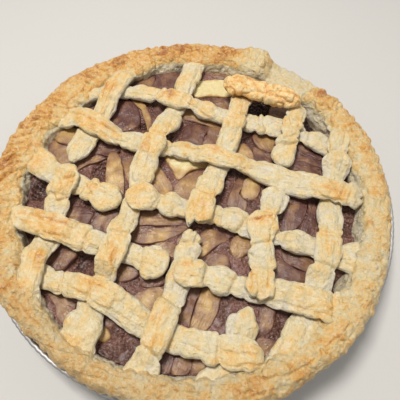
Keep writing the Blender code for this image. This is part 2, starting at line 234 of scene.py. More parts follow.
# Places where a strip is pinched right across.
CREASES = {
    "strip_a1_lower": [-35], "strip_a2": [22, -15, -45, -69], "strip_a3_upper": [22, 51, -7],
    "strip_a4_upper": [60, 53, 46, 40], "strip_a4_middle": [-8, -27, -41],
    "strip_a5": [44, -11, -29], "strip_b1": [-38, -17, 26, 31, 57], "strip_b2": [-50, -20, 84],
    "strip_b3_left": [-57, -50], "strip_b3_right": [-12, 21, 36, 57, 87],
    "strip_b4_left": [-41, -31, -10.5], "strip_b4_right": [26, 40, 89],
    "strip_b5": [-43, -26, 41], "strip_a3_lower": [-38, -69, -95], "strip_a4_lower": [-78],
}

# Torn free ends: (share of the half width, mm the edge runs on) for a strip's first or last end.
TORN = {
    ("strip_a3_upper", 1): [(-1, -2.0), (-0.8, 1.0), (-0.5, 4.2), (-0.3, 1.5), (-0.12, -3.6),
                            (0.05, -0.5), (0.6, 0.2), (1, -2.0)],
    ("strip_a3_lower", 0): [(-1, 0.0), (-0.6, 1.0), (-0.2, -0.6), (0.3, 0.8), (0.8, 0.2), (1, -1.0)],
    ("strip_a4_middle", 1): [(-1, -2.5), (-0.6, 0.3), (-0.1, -0.3), (0.04, -4.0), (0.18, 0.0),
                             (0.6, 0.6), (1, -2.0)],
    ("strip_a4_middle", 0): [(-1, -1.5), (-0.5, 0.4), (0.0, -0.8), (0.5, 0.6), (1, -1.5)],
    ("strip_b2", 1): [(-1, -1.0), (-0.6, 1.2), (-0.1, -1.6), (0.3, 0.8), (0.7, -0.6), (1, -2.0)],
}

# Folds in the strips' tops: x and y of one end, x and y of the other, rise in mm and browning. The
# dough is raised on the left of the line, or on its right where the rise is negative.
FOLDS = [
    (-88, 22.5, -74, 20.5, 0.7, 0.25), (-74, 20.5, -60, 17.2, 0.9, 0.35),
    (-60, 17.2, -50, 15.0, 0.8, 0.45), (-86, 13.5, -68, 14.0, -0.6, 0.15),
    (-68, 14.0, -54, 9.0, -0.7, 0.15), (-69.5, 62, -69, 28, 0.6, 0.2), (-73, 56, -72.5, 40, 0.4, 0.25),
    (-33, 21, -30, 12, -0.8, 0.15), (-30, 12, -27.5, -2, -0.7, 0.1), (-30.5, 41, -24, 28, 0.6, 0.1),
    (-37, 51, -32, 57, -0.8, 0.2), (-32, 57, -24, 56, -0.8, 0.2), (-60, 50.5, -42, 51.5, 0.4, 0.0),
    (-20, 52, -6, 48, 0.6, 0.0), (12.5, 60, 14, 32, 0.6, 0.1), (10, 46, 9, 30, 0.4, 0.15),
    (43, 62, 46, 52, 0.7, 0.0), (50, 60, 54, 50, 0.7, 0.0), (46, 51, 52, 44, 0.6, 0.05),
    (44, 44, 50, 48, 0.6, 0.0), (75, 61, 76.5, 34, 0.8, 0.1), (80, 56, 81, 42, 0.5, 0.2),
    (71.5, 55, 72, 44, 0.4, 0.3), (62, 20, 76, 18.5, 0.5, 0.25), (66, 15, 80, 16.5, 0.4, 0.2),
    (70, 11.5, 84, 12, 0.5, 0.3), (78, 20, 88, 20.5, 0.4, 0.2), (0, 21.5, 26, 20.5, 0.6, 0.25),
    (-18, 18.5, 2, 19.5, 0.5, 0.15), (30, 17, 52, 19, 0.5, 0.1), (86, 11, 88, 19, 0.7, 0.1),
    (-76, -19, -66, -24, 0.8, 0.15), (-73, -23, -68, -25, 0.7, 0.2), (-68, -25, -63, -21, 0.7, 0.2),
    (-70, -34, -66, -36.5, 0.7, 0.25), (-66, -36.5, -60, -33.5, 0.7, 0.2),
    (-57, -21, -50, -26, 0.7, 0.1), (-50, -20, -51.5, -25, 0.6, 0.1), (-48, -23, -36, -25, 0.5, 0.1),
    (-12, -15, -13.5, -27, 0.8, 0.15), (-9, -20, 2, -17, 0.5, 0.2), (-84, -50, -68, -49.5, 0.4, 0.35),
    (-68, -49.5, -54, -48.5, 0.5, 0.45), (-80, -54, -66, -53, 0.4, 0.25), (-62, -56, -50, -55, 0.4, 0.3),
    (-41, -49, -40, -58, 0.7, 0.1), (-29, -49, -24.5, -66, 0.8, 0.1), (-26.5, -50, -21, -64, 0.6, 0.45),
    (-45, -73, -41.5, -83, 0.7, 0.15), (-40, -78, -28, -79, 0.5, 0.25), (-27, -73, -25, -84, 0.8, 0.0),
    (-24, -76.5, -8, -78, 0.5, 0.25), (-22, -81.5, -4, -84, 0.4, 0.2), (-8, -78.5, 4, -81, 0.4, 0.15),
    (9, -10, 8, -21, 0.4, 0.2), (13, -12, 14.5, -23, 0.5, 0.25), (24, -14.5, 34, -13.5, 0.6, 0.1),
    (23, -18, 24, -26, 0.5, 0.0), (36.5, -16, 42, -14.5, 0.8, 0.4), (42, -14.5, 49, -10.5, 0.7, 0.4),
    (44, -33, 49, -36.5, 0.8, 0.1), (49, -36.5, 55, -33, 0.8, 0.15), (52, -31, 54.5, -38, 0.6, 0.05),
    (46.5, -43, 48.5, -53, 0.5, 0.35), (55.5, -43, 57, -53, 0.5, 0.3), (61, -17, 72, -16.5, 0.5, 0.0),
    (79.5, -12, 82.5, -26, 0.5, 0.45), (77, -13, 78.5, -24, 0.4, 0.25), (79, -30, 80.5, -43, 0.7, 0.05),
    (28, -49, 32, -53, 0.5, 0.25), (34, -50.5, 40, -48.5, 0.4, 0.2), (60, -48, 80, -46.5, 0.4, 0.15),
    (62, -53, 78, -54, 0.5, 0.1), (80, -54, 88, -53, 0.5, 0.35), (80, -48, 90, -50, 0.4, 0.15),
    (44, -84, 58, -81, 0.6, 0.35), (50, -88, 62, -84, 0.5, 0.25), (24, -85, 38, -87, 0.5, 0.1),
    (11, -66, 10, -84, 0.4, 0.2), (15, -72, 14.5, -92, 0.4, 0.15), (48, -64, 50, -76, 0.5, 0.1),
    (11, -86, 12.5, -96, 0.6, 0.2), (18, -60, 14, -66, 0.5, 0.1), (76, -60, 75, -74, 0.6, 0.1),
    (-62, -60, -58, -76, 0.6, 0.15), (-66, -62, -64, -74, 0.4, 0.2), (-24, -84, -23, -96, 0.5, 0.05),
]

# Cracks and long wrinkles in the rim, in the same form.
RIM_CRACKS = [
    (-36, -96.5, -29, -98.5, 0.9, 0.35), (-29, -98.5, -22, -99, 0.9, 0.35), (-22, -99, -16, -103, 0.8, 0.3),
    (-69, -76, -64, -78, 0.9, 0.4), (-62, -80, -58, -85, 0.6, 0.3), (-78, 68, -71, 70.5, 0.9, 0.35),
    (-75, 65, -71, 60, 0.9, 0.3), (-58, 83, -46, 90, 0.6, 0.3), (-30, 85, -24, 88, 0.8, 0.3),
    (58, -92, 74, -84, 0.7, 0.3), (74, -84, 84, -74, 0.5, 0.2), (60, -98, 80, -86, 0.35, 0.1),
    (80, -86, 92, -72, 0.35, 0.1), (66, -100, 84, -90, 0.3, 0.05), (88, -68, 98, -52, 0.5, 0.2),
    (40, -100, 54, -95, 0.7, 0.3), (20, -107, 38, -104, 0.7, 0.3), (-12, -107, 8, -108, 0.6, 0.25),
    (-48, -98, -38, -102, 0.7, 0.3), (-60, -92, -50, -97, 0.7, 0.25), (-84, -62, -76, -70, 0.6, 0.25),
    (-95, 8, -99, 20, 0.7, 0.25), (-92, 30, -88, 42, 0.7, 0.25), (62, 80, 72, 72, 0.6, 0.2),
    (80, 66, 88, 56, 0.6, 0.2), (48, 82, 52, 72, 0.8, 0.15),
]

# ---------------------------------------------------------------- where the pastry browned

# (x, y, radius, strength) of the golden-brown patches on the crust and strips.
GOLD_SPOTS = [
    (-80, 17.5, 3.2, 0.8), (-84, 20, 8, 0.25), (-72, 19, 7, 0.2), (-60, 11, 6, 0.3),
    (-31, 53.5, 3.4, 1.1), (-33, 54.5, 7, 0.45), (-71, 44, 4.5, 0.4), (-70, 32, 3.6, 0.45),
    (-68, 58, 6, 0.35), (-32, 18, 3.4, 0.5), (-31, 9, 3.6, 0.5), (-26, 31, 5, 0.3),
    (-88, -17, 6, 0.5), (-67, -21, 4, 0.3), (-66, -27, 5, 0.25), (-27, -17, 5.5, 0.45),
    (-24, -25, 5, 0.25), (-81, -51, 6, 0.35), (-70, -50, 6, 0.35), (-60, -55, 5, 0.25),
    (-22, -59, 2.6, 0.4), (-25, -53, 4, 0.15), (-38, -79, 7, 0.35), (-30, -74, 4, 0.35),
    (-16, -78, 8, 0.3), (-2, -82, 6, 0.15), (11, -12, 5.5, 0.45), (14, -20, 4, 0.5),
    (43, -15, 3.2, 0.85), (47, -11.5, 3.2, 0.75), (39, -15, 4, 0.4), (50, -46, 6, 0.5),
    (46, -45, 3, 0.5), (56, -50, 4, 0.35), (48, -53, 3.5, 0.35), (80, -20, 3.5, 0.5),
    (79, -13, 3.5, 0.35), (29, -51, 3.6, 0.45), (36, -49, 3.5, 0.3), (84, -55, 3.6, 0.6),
    (86, -49, 6, 0.3), (55, -83, 5, 0.4), (46, -86, 4, 0.25), (72, 55, 3.6, 0.4),
    (71.5, 46, 3, 0.6), (80, 57, 3.6, 0.35), (73, 12, 7, 0.22), (85, 15, 6, 0.22), (78, 19, 4, 0.2),
    (-12, 19, 6, 0.25), (6, 21, 6, 0.35), (22, 20, 6, 0.25), (45, 66, 3, 0.6), (50, 36, 3, 0.35),
    (12, -75, 7, 0.25), (13, -92, 6, 0.25), (-60, -68, 7, 0.3), (14, 55, 6, 0.2),
    (60, 86, 5, 0.7), (92, 51, 4.5, 0.55), (-50, 88, 3.6, 0.75), (-38, 93, 4, 0.45),
    (-12, 95, 3.6, 0.6), (-91, 53, 4, 0.6), (-74, 76, 4, 0.4), (-99, 31, 4.5, 0.5),
    (-104, 16, 4, 0.4), (80, -83, 5, 0.55), (60, -93, 4, 0.4), (92, -61, 3.6, 0.5),
    (88, -67, 4.5, 0.4), (-28, -101, 5, 0.3), (-52, -93, 3.6, 0.45), (-60, -83, 4, 0.4),
    (104, 4, 6, 0.45), (99, -31, 5, 0.4), (-103, -22, 5, 0.4), (20, -108, 5, 0.35),
]

# Apple slices that show in the lattice's windows: tone (0 soaked and dark, 1 pale), height of the
# top in mm above the usual level, and the corners of its outline.
SLICES = [
    (0.34, 0.2, [(-64, 62), (-62, 76), (-56, 83), (-50, 72), (-52, 61)]),
    (0.16, -0.2, [(-52, 60), (-50, 72), (-55, 83), (-42, 86), (-32, 78), (-32, 60)]),
    (1.25, 0.6, [(-22, 79), (-14, 84), (0, 88), (8, 82), (3, 73), (-8, 69), (-18, 65), (-24, 70)]),
    (0.30, -0.6, [(-24, 96), (-25, 87), (-12, 86), (0, 89), (6, 97)]),
    (0.34, -0.3, [(-8, 67), (0, 71), (9, 73), (8, 58), (-9, 59)]),
    (0.42, -1.0, [(31, 76), (43, 78), (43, 62), (33, 64)]),
    (0.10, 0.4, [(-69, 44), (-62, 49), (-54, 47), (-48, 39), (-46, 31), (-52, 24), (-64, 25), (-70, 35)]),
    (0.66, 0.6, [(-62, 52), (-53, 52), (-44, 44), (-38, 35), (-38, 28), (-43, 35), (-49, 43), (-56, 48)]),
    (0.20, -0.2, [(-44, 54), (-32, 54), (-34, 40), (-40, 41)]),
    (0.56, 0.5, [(-24, 53), (-4, 53), (8, 52), (8, 45), (-6, 44.5), (-22, 45)]),
    (0.20, 0.0, [(-18, 44), (-4, 43.5), (-3, 36), (-4, 26), (-15, 26), (-18, 36)]),
    (0.36, 0.1, [(-3, 44), (8, 44), (8, 26), (-3, 26), (-2, 36)]),
    (0.52, 0.5, [(26, 52), (40, 53), (42, 38), (34, 36.5), (29, 39), (25.5, 44)]),
    (0.58, 0.3, [(16, 38), (23, 38), (28, 34), (31, 26), (18, 24)]),
    (0.22, 0.0, [(28, 38), (35, 36), (43, 36), (42, 24), (32, 25), (29, 32)]),
    (0.12, 0.1, [(54, 54), (74, 54), (73, 42), (57, 41.5)]),
    (0.24, -0.1, [(54, 41), (73, 41), (73, 36.5), (54, 36)]),
    (0.15, 0.0, [(52, 35.5), (73, 36), (74, 24), (50, 24)]),
    (0.72, 0.5, [(-93, 13), (-86, 17), (-78, 16), (-79, 4.5), (-86, 3), (-92, 5)]),
    (0.40, 0.1, [(-93, 3.5), (-86, 2), (-77, 3), (-74, -10), (-90, -12)]),
    (0.12, 0.2, [(-68, 14), (-50, 16), (-50, 8), (-55, 3), (-62, 2), (-70, -6), (-72, 4)]),
    (0.34, 0.0, [(-72, -7), (-62, 1.5), (-55, 2), (-58, -2), (-65, -8), (-72, -16)]),
    (0.68, 0.7, [(-55, 5), (-50, 7), (-44, 0), (-37, -13), (-36, -20), (-44, -20), (-50, -12)]),
    (0.42, 0.3, [(-50, 15), (-36, 15), (-31, 0), (-34, -12), (-37, -10), (-43, -1), (-49, 8)]),
    (1.0, 0.7, [(-24, 16), (-12, 19), (4, 17), (6, 14), (-3, 9), (-8, 0.5), (-14, 5)]),
    (0.56, 0.4, [(-27, 8), (-22, 5), (-15, 0), (-9, -6), (-12, -14), (-30, -14), (-30, 0)]),
    (0.46, 0.3, [(-8, 0), (-3, 8), (3, 12), (9, 8), (9, -11), (-6, -12), (-9.5, -6)]),
    (0.70, 0.5, [(28.5, 12), (33, 16), (39, 14), (39, 4), (33.5, -0.5), (29, 3)]),
    (0.30, 0.0, [(25, 14), (29, 14), (28.5, 2), (34, -1.5), (34, -8), (24, -8), (23, 2)]),
    (0.12, 0.0, [(56, 14), (66, 14), (68, 2), (64, -10), (56, -11)]),
    (0.08, 0.1, [(67, 13), (76, 12), (77, -10), (66, -11), (69, 2)]),
    (0.30, 0.2, [(-63, -39), (-58, -33), (-47, -34), (-46, -38), (-48, -46), (-61, -46)]),
    (0.20, 0.3, [(-46, -33), (-33, -30), (-31, -44), (-45, -46), (-45, -38)]),
    (0.46, 0.5, [(-24, -26), (4, -20), (8, -24), (-6, -30.5), (-14, -33), (-24, -35)]),
    (0.40, 0.2, [(-24, -36), (-14, -34), (-5, -31), (7, -26), (4, -33), (-5, -40), (-14, -44), (-24, -44)]),
    (0.52, 0.0, [(8, -30), (8, -48), (-3, -47), (-8, -42), (1, -37)]),
    (0.56, 0.4, [(14, -27), (22, -23), (31, -25), (25, -33), (20, -41), (15, -42)]),
    (0.68, 0.5, [(31.5, -26), (36, -21), (43, -24), (43, -31), (37, -37), (32, -32)]),
    (0.36, 0.0, [(22, -38), (32, -36), (36, -42), (34, -50), (22, -50)]),
    (0.30, 0.1, [(60, -22), (78, -22), (78, -31), (68, -31.5), (61, -29)]),
    (0.14, 0.1, [(58, -30), (70, -32), (78, -33), (76, -44), (58, -44)]),
    (0.36, 0.4, [(-58, -56), (-46, -57), (-46, -66), (-50, -72), (-59, -70)]),
    (0.40, 0.3, [(-22, -56), (-9, -58), (-13, -65.5), (-22, -67)]),
    (0.62, 0.5, [(-4, -67), (3, -63), (9, -65), (9, -76), (-2, -78), (-10, -74)]),
    (0.28, 0.2, [(-1, -58), (7, -58), (3, -63.5), (-4, -66), (-7, -64)]),
    (0.60, 0.6, [(26, -54), (34, -54), (36, -66), (34, -75), (30, -80), (25, -80), (24, -66)]),
    (0.24, 0.0, [(18, -56), (25, -56), (23.5, -66), (24, -80), (18, -80)]),
    (0.38, 0.3, [(54, -53), (62, -53), (63.5, -67), (58, -71), (56, -62)]),
    (0.34, 0.1, [(56, -73), (63, -70.5), (72, -71), (68, -80), (56, -80)]),
    (0.36, 0.2, [(-52, -82), (-35, -81), (-34, -95), (-39, -94), (-44, -88)]),
    (0.80, 0.3, [(-19, -91), (-15.5, -89.5), (-11, -93.5), (-13.5, -97), (-21, -96)]),
    (0.42, -0.2, [(-19, -84), (-11, -85), (-12, -90), (-18, -90)]),
    (0.44, 0.2, [(22.5, -90), (30.5, -90), (31, -98), (25, -101), (22, -98)]),
    (0.56, 0.3, [(31.5, -90), (42, -87), (40, -95), (31.5, -97.5)]),
    (0.20, 0.0, [(13, -92), (21.5, -91), (22, -102), (13, -102)]),
]

# Hollows between the slices: x, y, radius, depth.
HOLLOWS = [
    (24, 70, 9, 9), (-55, -8, 5.5, 5), (-39, -64, 7, 4), (67, 9, 2.5, 3), (23, 43, 2.5, 3),
    (-52, 11, 4, 4), (51, 27, 3, 5), (62, 70, 8, 7), (-82, -30, 6, 4), (-78, -62, 7, 5),
    (89, 42, 5, 7), (88, -57, 5, 6), (58, -91, 6, 5), (93, -32, 5, 5), (92, 2, 6, 3),
    (-43, 33, 4, 3), (-86, 44, 6, 7), (3, -57, 3, 3), (-14, -72, 3, 2), (32, -26, 1.6, 2),
]


# ---------------------------------------------------------------- numbers and noise

def smoothstep(low, high, value):
    t = np.clip((np.asarray(value, float) - low) / (high - low), 0.0, 1.0)
    return t * t * (3 - 2 * t)


def bump(value, middle, half_width):
    """1 at the middle, falling smoothly to 0 at half_width on either side."""
    return 1 - smoothstep(0, half_width, np.abs(value - middle))


def lattice_hash(ix, iy, iz, seed):
    """A repeatable number from 0 to 1 for each integer corner."""
    mask = np.int64(0xFFFFFFFF)
    h = (ix * 374761393 + iy * 668265263 + iz * 974634777 + seed * 1274126177) & mask
    h = ((h ^ (h >> 13)) * 1274126177) & mask
    return ((h ^ (h >> 16)) & 0xFFFFFF) / float(0xFFFFFF)


def value_noise(points, seed):
    """Smooth noise from -1 to 1 at each row of points, with features about 1 unit across."""
    base = np.floor(points).astype(np.int64)
    part = points - base
    fade = part * part * part * (part * (part * 6 - 15) + 10)
    total = 0.0
    for dx in (0, 1):
        for dy in (0, 1):
            for dz in (0, 1):
                corner = lattice_hash(base[..., 0] + dx, base[..., 1] + dy, base[..., 2] + dz, seed)
                weight = ((fade[..., 0] if dx else 1 - fade[..., 0])
                          * (fade[..., 1] if dy else 1 - fade[..., 1])
                          * (fade[..., 2] if dz else 1 - fade[..., 2]))
                total = total + weight * corner
    return total * 2 - 1


def noise(points, size, seed, octaves=1):
    """Layers of smooth noise, the first with features of that size in mm."""
    total = 0.0
    strength = 1.0
    for layer in range(octaves):
        scaled = points * (2.0**layer / size) + 17.3 * layer
        total = total + strength * value_noise(scaled, seed + 101 * layer)
        strength *= 0.5
    return total


def puffs(points, size, seed):
    """Rounded lumps from 0 to about 1 that meet in sharp valleys."""
    return 1.3 * np.abs(value_noise(points / size, seed)) ** 0.75


def folds_at(x, y, folds):
    """Height in mm and browning of the named folds at points in plan."""
    height, tone = np.zeros_like(x), np.zeros_like(x)
    wobble = 0.8 * noise(np.stack([x, y, 0 * x], -1), 5, SEED + 91, 2)
    for from_x, from_y, to_x, to_y, rise, brown in folds:
        run_x, run_y = to_x - from_x, to_y - from_y
        length = math.hypot(run_x, run_y)
        along = ((x - from_x) * run_x + (y - from_y) * run_y) / length
        off = ((y - from_y) * run_x - (x - from_x) * run_y) / length + wobble
        off = off * math.copysign(1.0, rise)
        there = smoothstep(-2, 1, along) * (1 - smoothstep(length - 1, length + 2, along))
        lip = np.exp(-np.maximum(off, 0) / 2.2) * smoothstep(-0.45, 0.25, off)
        height += there * abs(rise) * (lip - 0.7 * np.exp(-((off + 0.7) / 0.8) ** 2))
        tone += there * brown * np.exp(-((off + 0.3) / 0.8) ** 2)
    return height, tone


def ridges(points, size, seed):
    """Thin lines of 1 on a field of 0, where smooth noise passes through zero."""
    return np.clip(1 - np.abs(value_noise(points / size, seed)) * 7, 0, 1)


# ---------------------------------------------------------------- meshes

def tube_faces(rows, columns):
    """Quads of a grid whose rows each close on themselves, first row to last."""
    r = np.arange(rows - 1)[:, None] * columns
    c = np.arange(columns)[None, :]
    n = (c + 1) % columns
    quads = np.stack([r + c, r + n, r + columns + n, r + columns + c], axis=-1)
    return [tuple(quad) for quad in quads.reshape(-1, 4)]


def mesh_piece(name, points, faces, values, finish, replaced):
    """A smooth piece that rides on the frame. values are numbers on each point, by name."""
    data = bpy.data.meshes.new(name)
    data.from_pydata((points * MM).tolist(), [], faces)
    for key, numbers in values.items():
        numbers = np.asarray(numbers, np.float32)
        kind = "FLOAT_VECTOR" if numbers.ndim == 2 else "FLOAT"
        field = data.attributes.new(key, kind, "POINT")
        field.data.foreach_set("vector" if numbers.ndim == 2 else "value", numbers.ravel())
    data.validate()
    data.shade_smooth()
    data.materials.append(finish)
    piece = bpy.data.objects.new(name, data)
    bpy.context.scene.collection.objects.link(piece)
    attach(piece, "root")
    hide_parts(*replaced)


def capped(grid):
    """Points and faces of a grid of closed rows, with both open ends closed by fans."""
    rows, columns = grid.shape[:2]
    points = grid.reshape(-1, 3)
    faces = tube_faces(rows, columns)
    start, end = len(points), len(points) + 1
    tail = (rows - 1) * columns
    for c in range(columns):
        n = (c + 1) % columns
        faces.append((start, n, c))
        faces.append((end, tail + c, tail + n))
    return np.vstack([points, grid[0].mean(axis=0), grid[-1].mean(axis=0)]), faces


def turned(radius, height, angle):
    """Points of a section turned round +Z: one row for each angle."""
    return np.stack([radius * np.cos(angle)[:, None], radius * np.sin(angle)[:, None], height], 2)


def round_piece(grid, under_z, over_z):
    """Points and faces of a turned section, closed underneath and on top by fans on the axis."""
    rows, count = grid.shape[:2]
    points = np.vstack([grid.reshape(-1, 3), [0, 0, under_z], [0, 0, over_z]])
    under, over = rows * count, rows * count + 1
    faces = []
    for r in range(rows):
        here, following = r * count, (r + 1) % rows * count
        faces += [(here + c, following + c, following + c + 1, here + c + 1) for c in range(count - 1)]
        faces.append((under, following, here))
        faces.append((over, here + count - 1, following + count - 1))
    return points, faces


def unit(vectors):
    """The same directions at length 1."""
    return vectors / np.maximum(np.linalg.norm(vectors, axis=-1, keepdims=True), 1e-9)


def tube_normals(grid):
    """Outward normals of a grid whose rows each close on themselves."""
    down = np.gradient(grid, axis=0)
    across = np.roll(grid, -1, axis=1) - np.roll(grid, 1, axis=1)
    return unit(np.cross(across, down))


# ---------------------------------------------------------------- forms shared with the CAD model

def dome(x, y):
    """How far the pie's top has dropped, in mm, away from its middle."""
    return DOME_DROP * (x * x + y * y) / DOME_R**2


def rim_inner(angle):
    shifted = 5.4 * np.cos(angle + math.radians(78))
    return 98.8 + shifted - 1.8 * np.cos(2 * angle)


def rim_outer(angle):
    place = np.degrees(angle) % 360 / 30
    before = np.floor(place).astype(int)
    table = np.array(RIM_OUTER)
    start, end = table[before % 12], table[(before + 1) % 12]
    knob = 4.0 * bump(np.degrees(angle), KNOB_DEG, 9.0)
    ledge = 2.2 * (1 - rim_presence(angle))
    return start + (end - start) * smoothstep(0, 1, place - before) + knob + ledge


def rim_presence(angle):
    """1 where the roll is whole, 0 in the gap where it is missing."""
    deg = np.degrees(angle)
    inside_gap = smoothstep(GAP_FROM_DEG - 2, GAP_FROM_DEG + 3, deg)
    return 1 - inside_gap * (1 - smoothstep(GAP_TO_DEG - 3, GAP_TO_DEG + 2, deg))


def curve_through(points, per_span=16):
    """A smooth line through the points."""
    points = np.array(points, float)
    knots = np.vstack([2 * points[0] - points[1], points, 2 * points[-1] - points[-2]])
    t = (np.arange(per_span) / per_span)[:, None]
    line = []
    for a, b, c, d in zip(knots, knots[1:], knots[2:], knots[3:]):
        bend = (3 * (b - c) + d - a) * t**3 + (2 * a - 5 * b + 4 * c - d) * t**2
        line.append(b + 0.5 * ((c - a) * t + bend))
    return np.vstack([*line, points[-1:]])


def resample(line, step):
    """The line again at even steps, with the distance along it."""
    along = np.concatenate([[0], np.cumsum(np.linalg.norm(np.diff(line, axis=0), axis=1))])
    count = max(4, int(round(along[-1] / step)) + 1)
    even = np.linspace(0, along[-1], count)
    return np.stack([np.interp(even, along, line[:, k]) for k in range(line.shape[1])], 1), even


def beyond(inner, outer):
    """A point RIM_REACH past the outer one, straight on from the inner one."""
    return outer + (outer - inner) / np.linalg.norm(outer - inner) * RIM_REACH


def strip_line(strip):
    """The strip's middle line, drawn out at its rim ends and cut off INTO_RIM beyond the rim's
    inner edge."""
    points = [np.array(p, float) for p in strip["line"]]
    if strip["ends"][0] == "rim":
        points.insert(0, beyond(points[1], points[0]))
    if strip["ends"][1] == "rim":
        points.append(beyond(points[-2], points[-1]))
    line = curve_through(points)
    inside = np.hypot(*line.T) < rim_inner(np.arctan2(line[:, 1], line[:, 0])) + INTO_RIM
    return line[inside]


# ---------------------------------------------------------------- materials

def srgb(r, g, b):
    """Linear colour from 8-bit sRGB values."""
    def linear(c):
        c /= 255
        return c / 12.92 if c <= 0.04045 else ((c + 0.055) / 1.055) ** 2.4
    return (linear(r), linear(g), linear(b), 1.0)


class Nodes:
    """Short calls for building one material's node tree."""

    def __init__(self, name):
        self.material = bpy.data.materials.new(name)
        self.material.use_nodes = True
        self.tree = self.material.node_tree
        self.shader = self.tree.nodes["Principled BSDF"]

    def add(self, kind, **settings):
        node = self.tree.nodes.new(kind)
        for key, value in settings.items():
            setattr(node, key, value)
        return node

    def wire(self, source, target):
        self.tree.links.new(source, target)

    def attribute(self, name, output="Fac"):
        return self.add("ShaderNodeAttribute", attribute_name=name).outputs[output]

    def place(self):
        return self.add("ShaderNodeTexCoord").outputs["Object"]

    def noise(self, scale, detail=3.0, vector=None, roughness=0.55):
        node = self.add("ShaderNodeTexNoise")
        node.inputs["Scale"].default_value = scale
        node.inputs["Detail"].default_value = detail
        node.inputs["Roughness"].default_value = roughness
        self.wire(vector if vector is not None else self.place(), node.inputs["Vector"])
        return node.outputs["Fac"]

    def voronoi(self, scale):
        node = self.add("ShaderNodeTexVoronoi")
        node.inputs["Scale"].default_value = scale
        self.wire(self.place(), node.inputs["Vector"])
        return node.outputs["Distance"]

    def math(self, operation, a, b=0.0, clamp=False):
        node = self.add("ShaderNodeMath", operation=operation, use_clamp=clamp)
        for socket, value in zip(node.inputs, (a, b)):
            if isinstance(value, (int, float)):
                socket.default_value = value
            else:
                self.wire(value, socket)
        return node.outputs[0]

    def span(self, value, low, high, to_low, to_high):
        """value from low..high mapped to to_low..to_high."""
        node = self.add("ShaderNodeMapRange")
        for key, number in (("From Min", low), ("From Max", high),
                            ("To Min", to_low), ("To Max", to_high)):
            node.inputs[key].default_value = number
        self.wire(value, node.inputs["Value"])
        return node.outputs["Result"]

    def ramp(self, value, stops):
        node = self.add("ShaderNodeValToRGB")
        elements = node.color_ramp.elements
        while len(elements) < len(stops):
            elements.new(0.5)
        for element, (position, colour) in zip(elements, stops):
            element.position = position
            element.color = colour
        self.wire(value, node.inputs["Fac"])
        return node.outputs["Color"]

    def blend(self, share, a, b):
        node = self.add("ShaderNodeMix", data_type="RGBA")
        for socket, value in ((node.inputs[0], share), (node.inputs[6], a), (node.inputs[7], b)):
            if isinstance(value, (int, float, tuple)):
                socket.default_value = value
            else:
                self.wire(value, socket)
        return node.outputs[2]

    def fix(self, numbers):
        """Numbers that are the same all over, on the shader's own sockets."""
        for key, value in numbers.items():
            self.shader.inputs[key].default_value = value

    def paint(self, colour, roughness):
        self.wire(colour, self.shader.inputs["Base Color"])
        self.wire(roughness, self.shader.inputs["Roughness"])

    def relief(self, layers):
        """A chain of Bump nodes: (height, distance in metres, strength) each."""
        normal = None
        for height, distance, strength in layers:
            node = self.add("ShaderNodeBump")
            node.inputs["Distance"].default_value = distance
            node.inputs["Strength"].default_value = strength
            self.wire(height, node.inputs["Height"])
            if normal is not None:
                self.wire(normal, node.inputs["Normal"])
            normal = node.outputs["Normal"]
        self.wire(normal, self.shader.inputs["Normal"])


# Pastry from unbrowned to well browned.
PASTRY_STOPS = [
    (0.0, srgb(217, 208, 188)),
    (0.25, srgb(218, 202, 160)),
    (0.5, srgb(226, 193, 130)),
    (0.75, srgb(221, 165, 84)),
    (1.0, srgb(176, 108, 46)),
]

# The loose length of rim is more golden than the rest, and its colours are also painted brighter as painted
# light, for the stronger light on it.
LOOSE_LIT_STOPS = [
    (0.0, srgb(250, 234, 200)),
    (0.25, srgb(251, 224, 170)),
    (0.5, srgb(248, 205, 134)),
    (0.75, srgb(234, 168, 86)),
    (1.0, srgb(192, 116, 48)),
]


def pastry_material(name, stretched, flaky, stops=PASTRY_STOPS):
    """Baked shortcrust: browned by the points' "brown" and darkened by painted shade from a second
    attribute. flaky scales the flakes, specks and relief."""
    m = Nodes(name)
    where = m.attribute("flow", "Vector") if stretched else m.place()
    mottle = m.noise(230, 4, roughness=0.65)
    specks = m.noise(900, 3)
    streaks = m.noise(1.0 if stretched else 380, 4, where, roughness=0.6)
    shade = m.attribute("brown")
    for spread, amount in ((mottle, 0.14 * flaky), (specks, 0.09 * flaky), (streaks, 0.05)):
        shade = m.math("ADD", shade, m.span(spread, 0.3, 0.7, -amount, amount))
    # Thin golden lines where the layers' edges baked through.
    vein = m.math("ABSOLUTE", m.math("SUBTRACT", m.noise(0.8 if stretched else 190, 3, where), 0.5))
    vein = m.math("MULTIPLY", m.span(vein, 0.0, 0.02, 0.18, 0.0), m.span(mottle, 0.4, 0.6, 0.0, 1.0))
    shade = m.math("ADD", shade, vein, clamp=True)
    colour = m.ramp(shade, stops)
    chalk = m.span(m.noise(170, 3), 0.50, 0.66, 0.0, 0.26 if stretched else 0.08)
    colour = m.blend(chalk, colour, srgb(238, 229, 208))
    # Pale flour specks, which also stand in for small glints on the flakes: partly painted highlights.
    flour_and_glints = m.span(m.noise(600, 4, roughness=0.7), 0.53, 0.64, 0.0, 0.42)
    colour = m.blend(flour_and_glints, colour, srgb(246, 230, 198))
    # Dark brown specks, which also stand in for the shade in small pits: partly painted shade.
    pit_shade_specks = m.span(m.noise(760, 4, roughness=0.7), 0.56, 0.68, 0.0, 0.42)
    colour = m.blend(pit_shade_specks, colour, srgb(176, 134, 82))
    # Painted shade: a dark grey brown is mixed in where the crust gets less light.
    colour = m.blend(m.attribute("painted_shade"), colour, srgb(150, 118, 84))
    m.paint(colour, m.span(shade, 0, 1, 0.48, 0.34))
    m.fix({"Specular IOR Level": 0.5, "Subsurface Weight": 0.08,
           "Subsurface Radius": (1.0, 0.55, 0.3), "Subsurface Scale": 0.001})
    m.relief([
        (m.noise(900, 4), 0.0009, 0.6 * flaky),
        (m.noise(520, 5, roughness=0.65), 0.0022, 0.6 * flaky),
        (m.voronoi(330), 0.0012, 0.4 * flaky),
        (streaks, 0.0013 if stretched else 0.0010, 0.6),
    ])
    return m.material


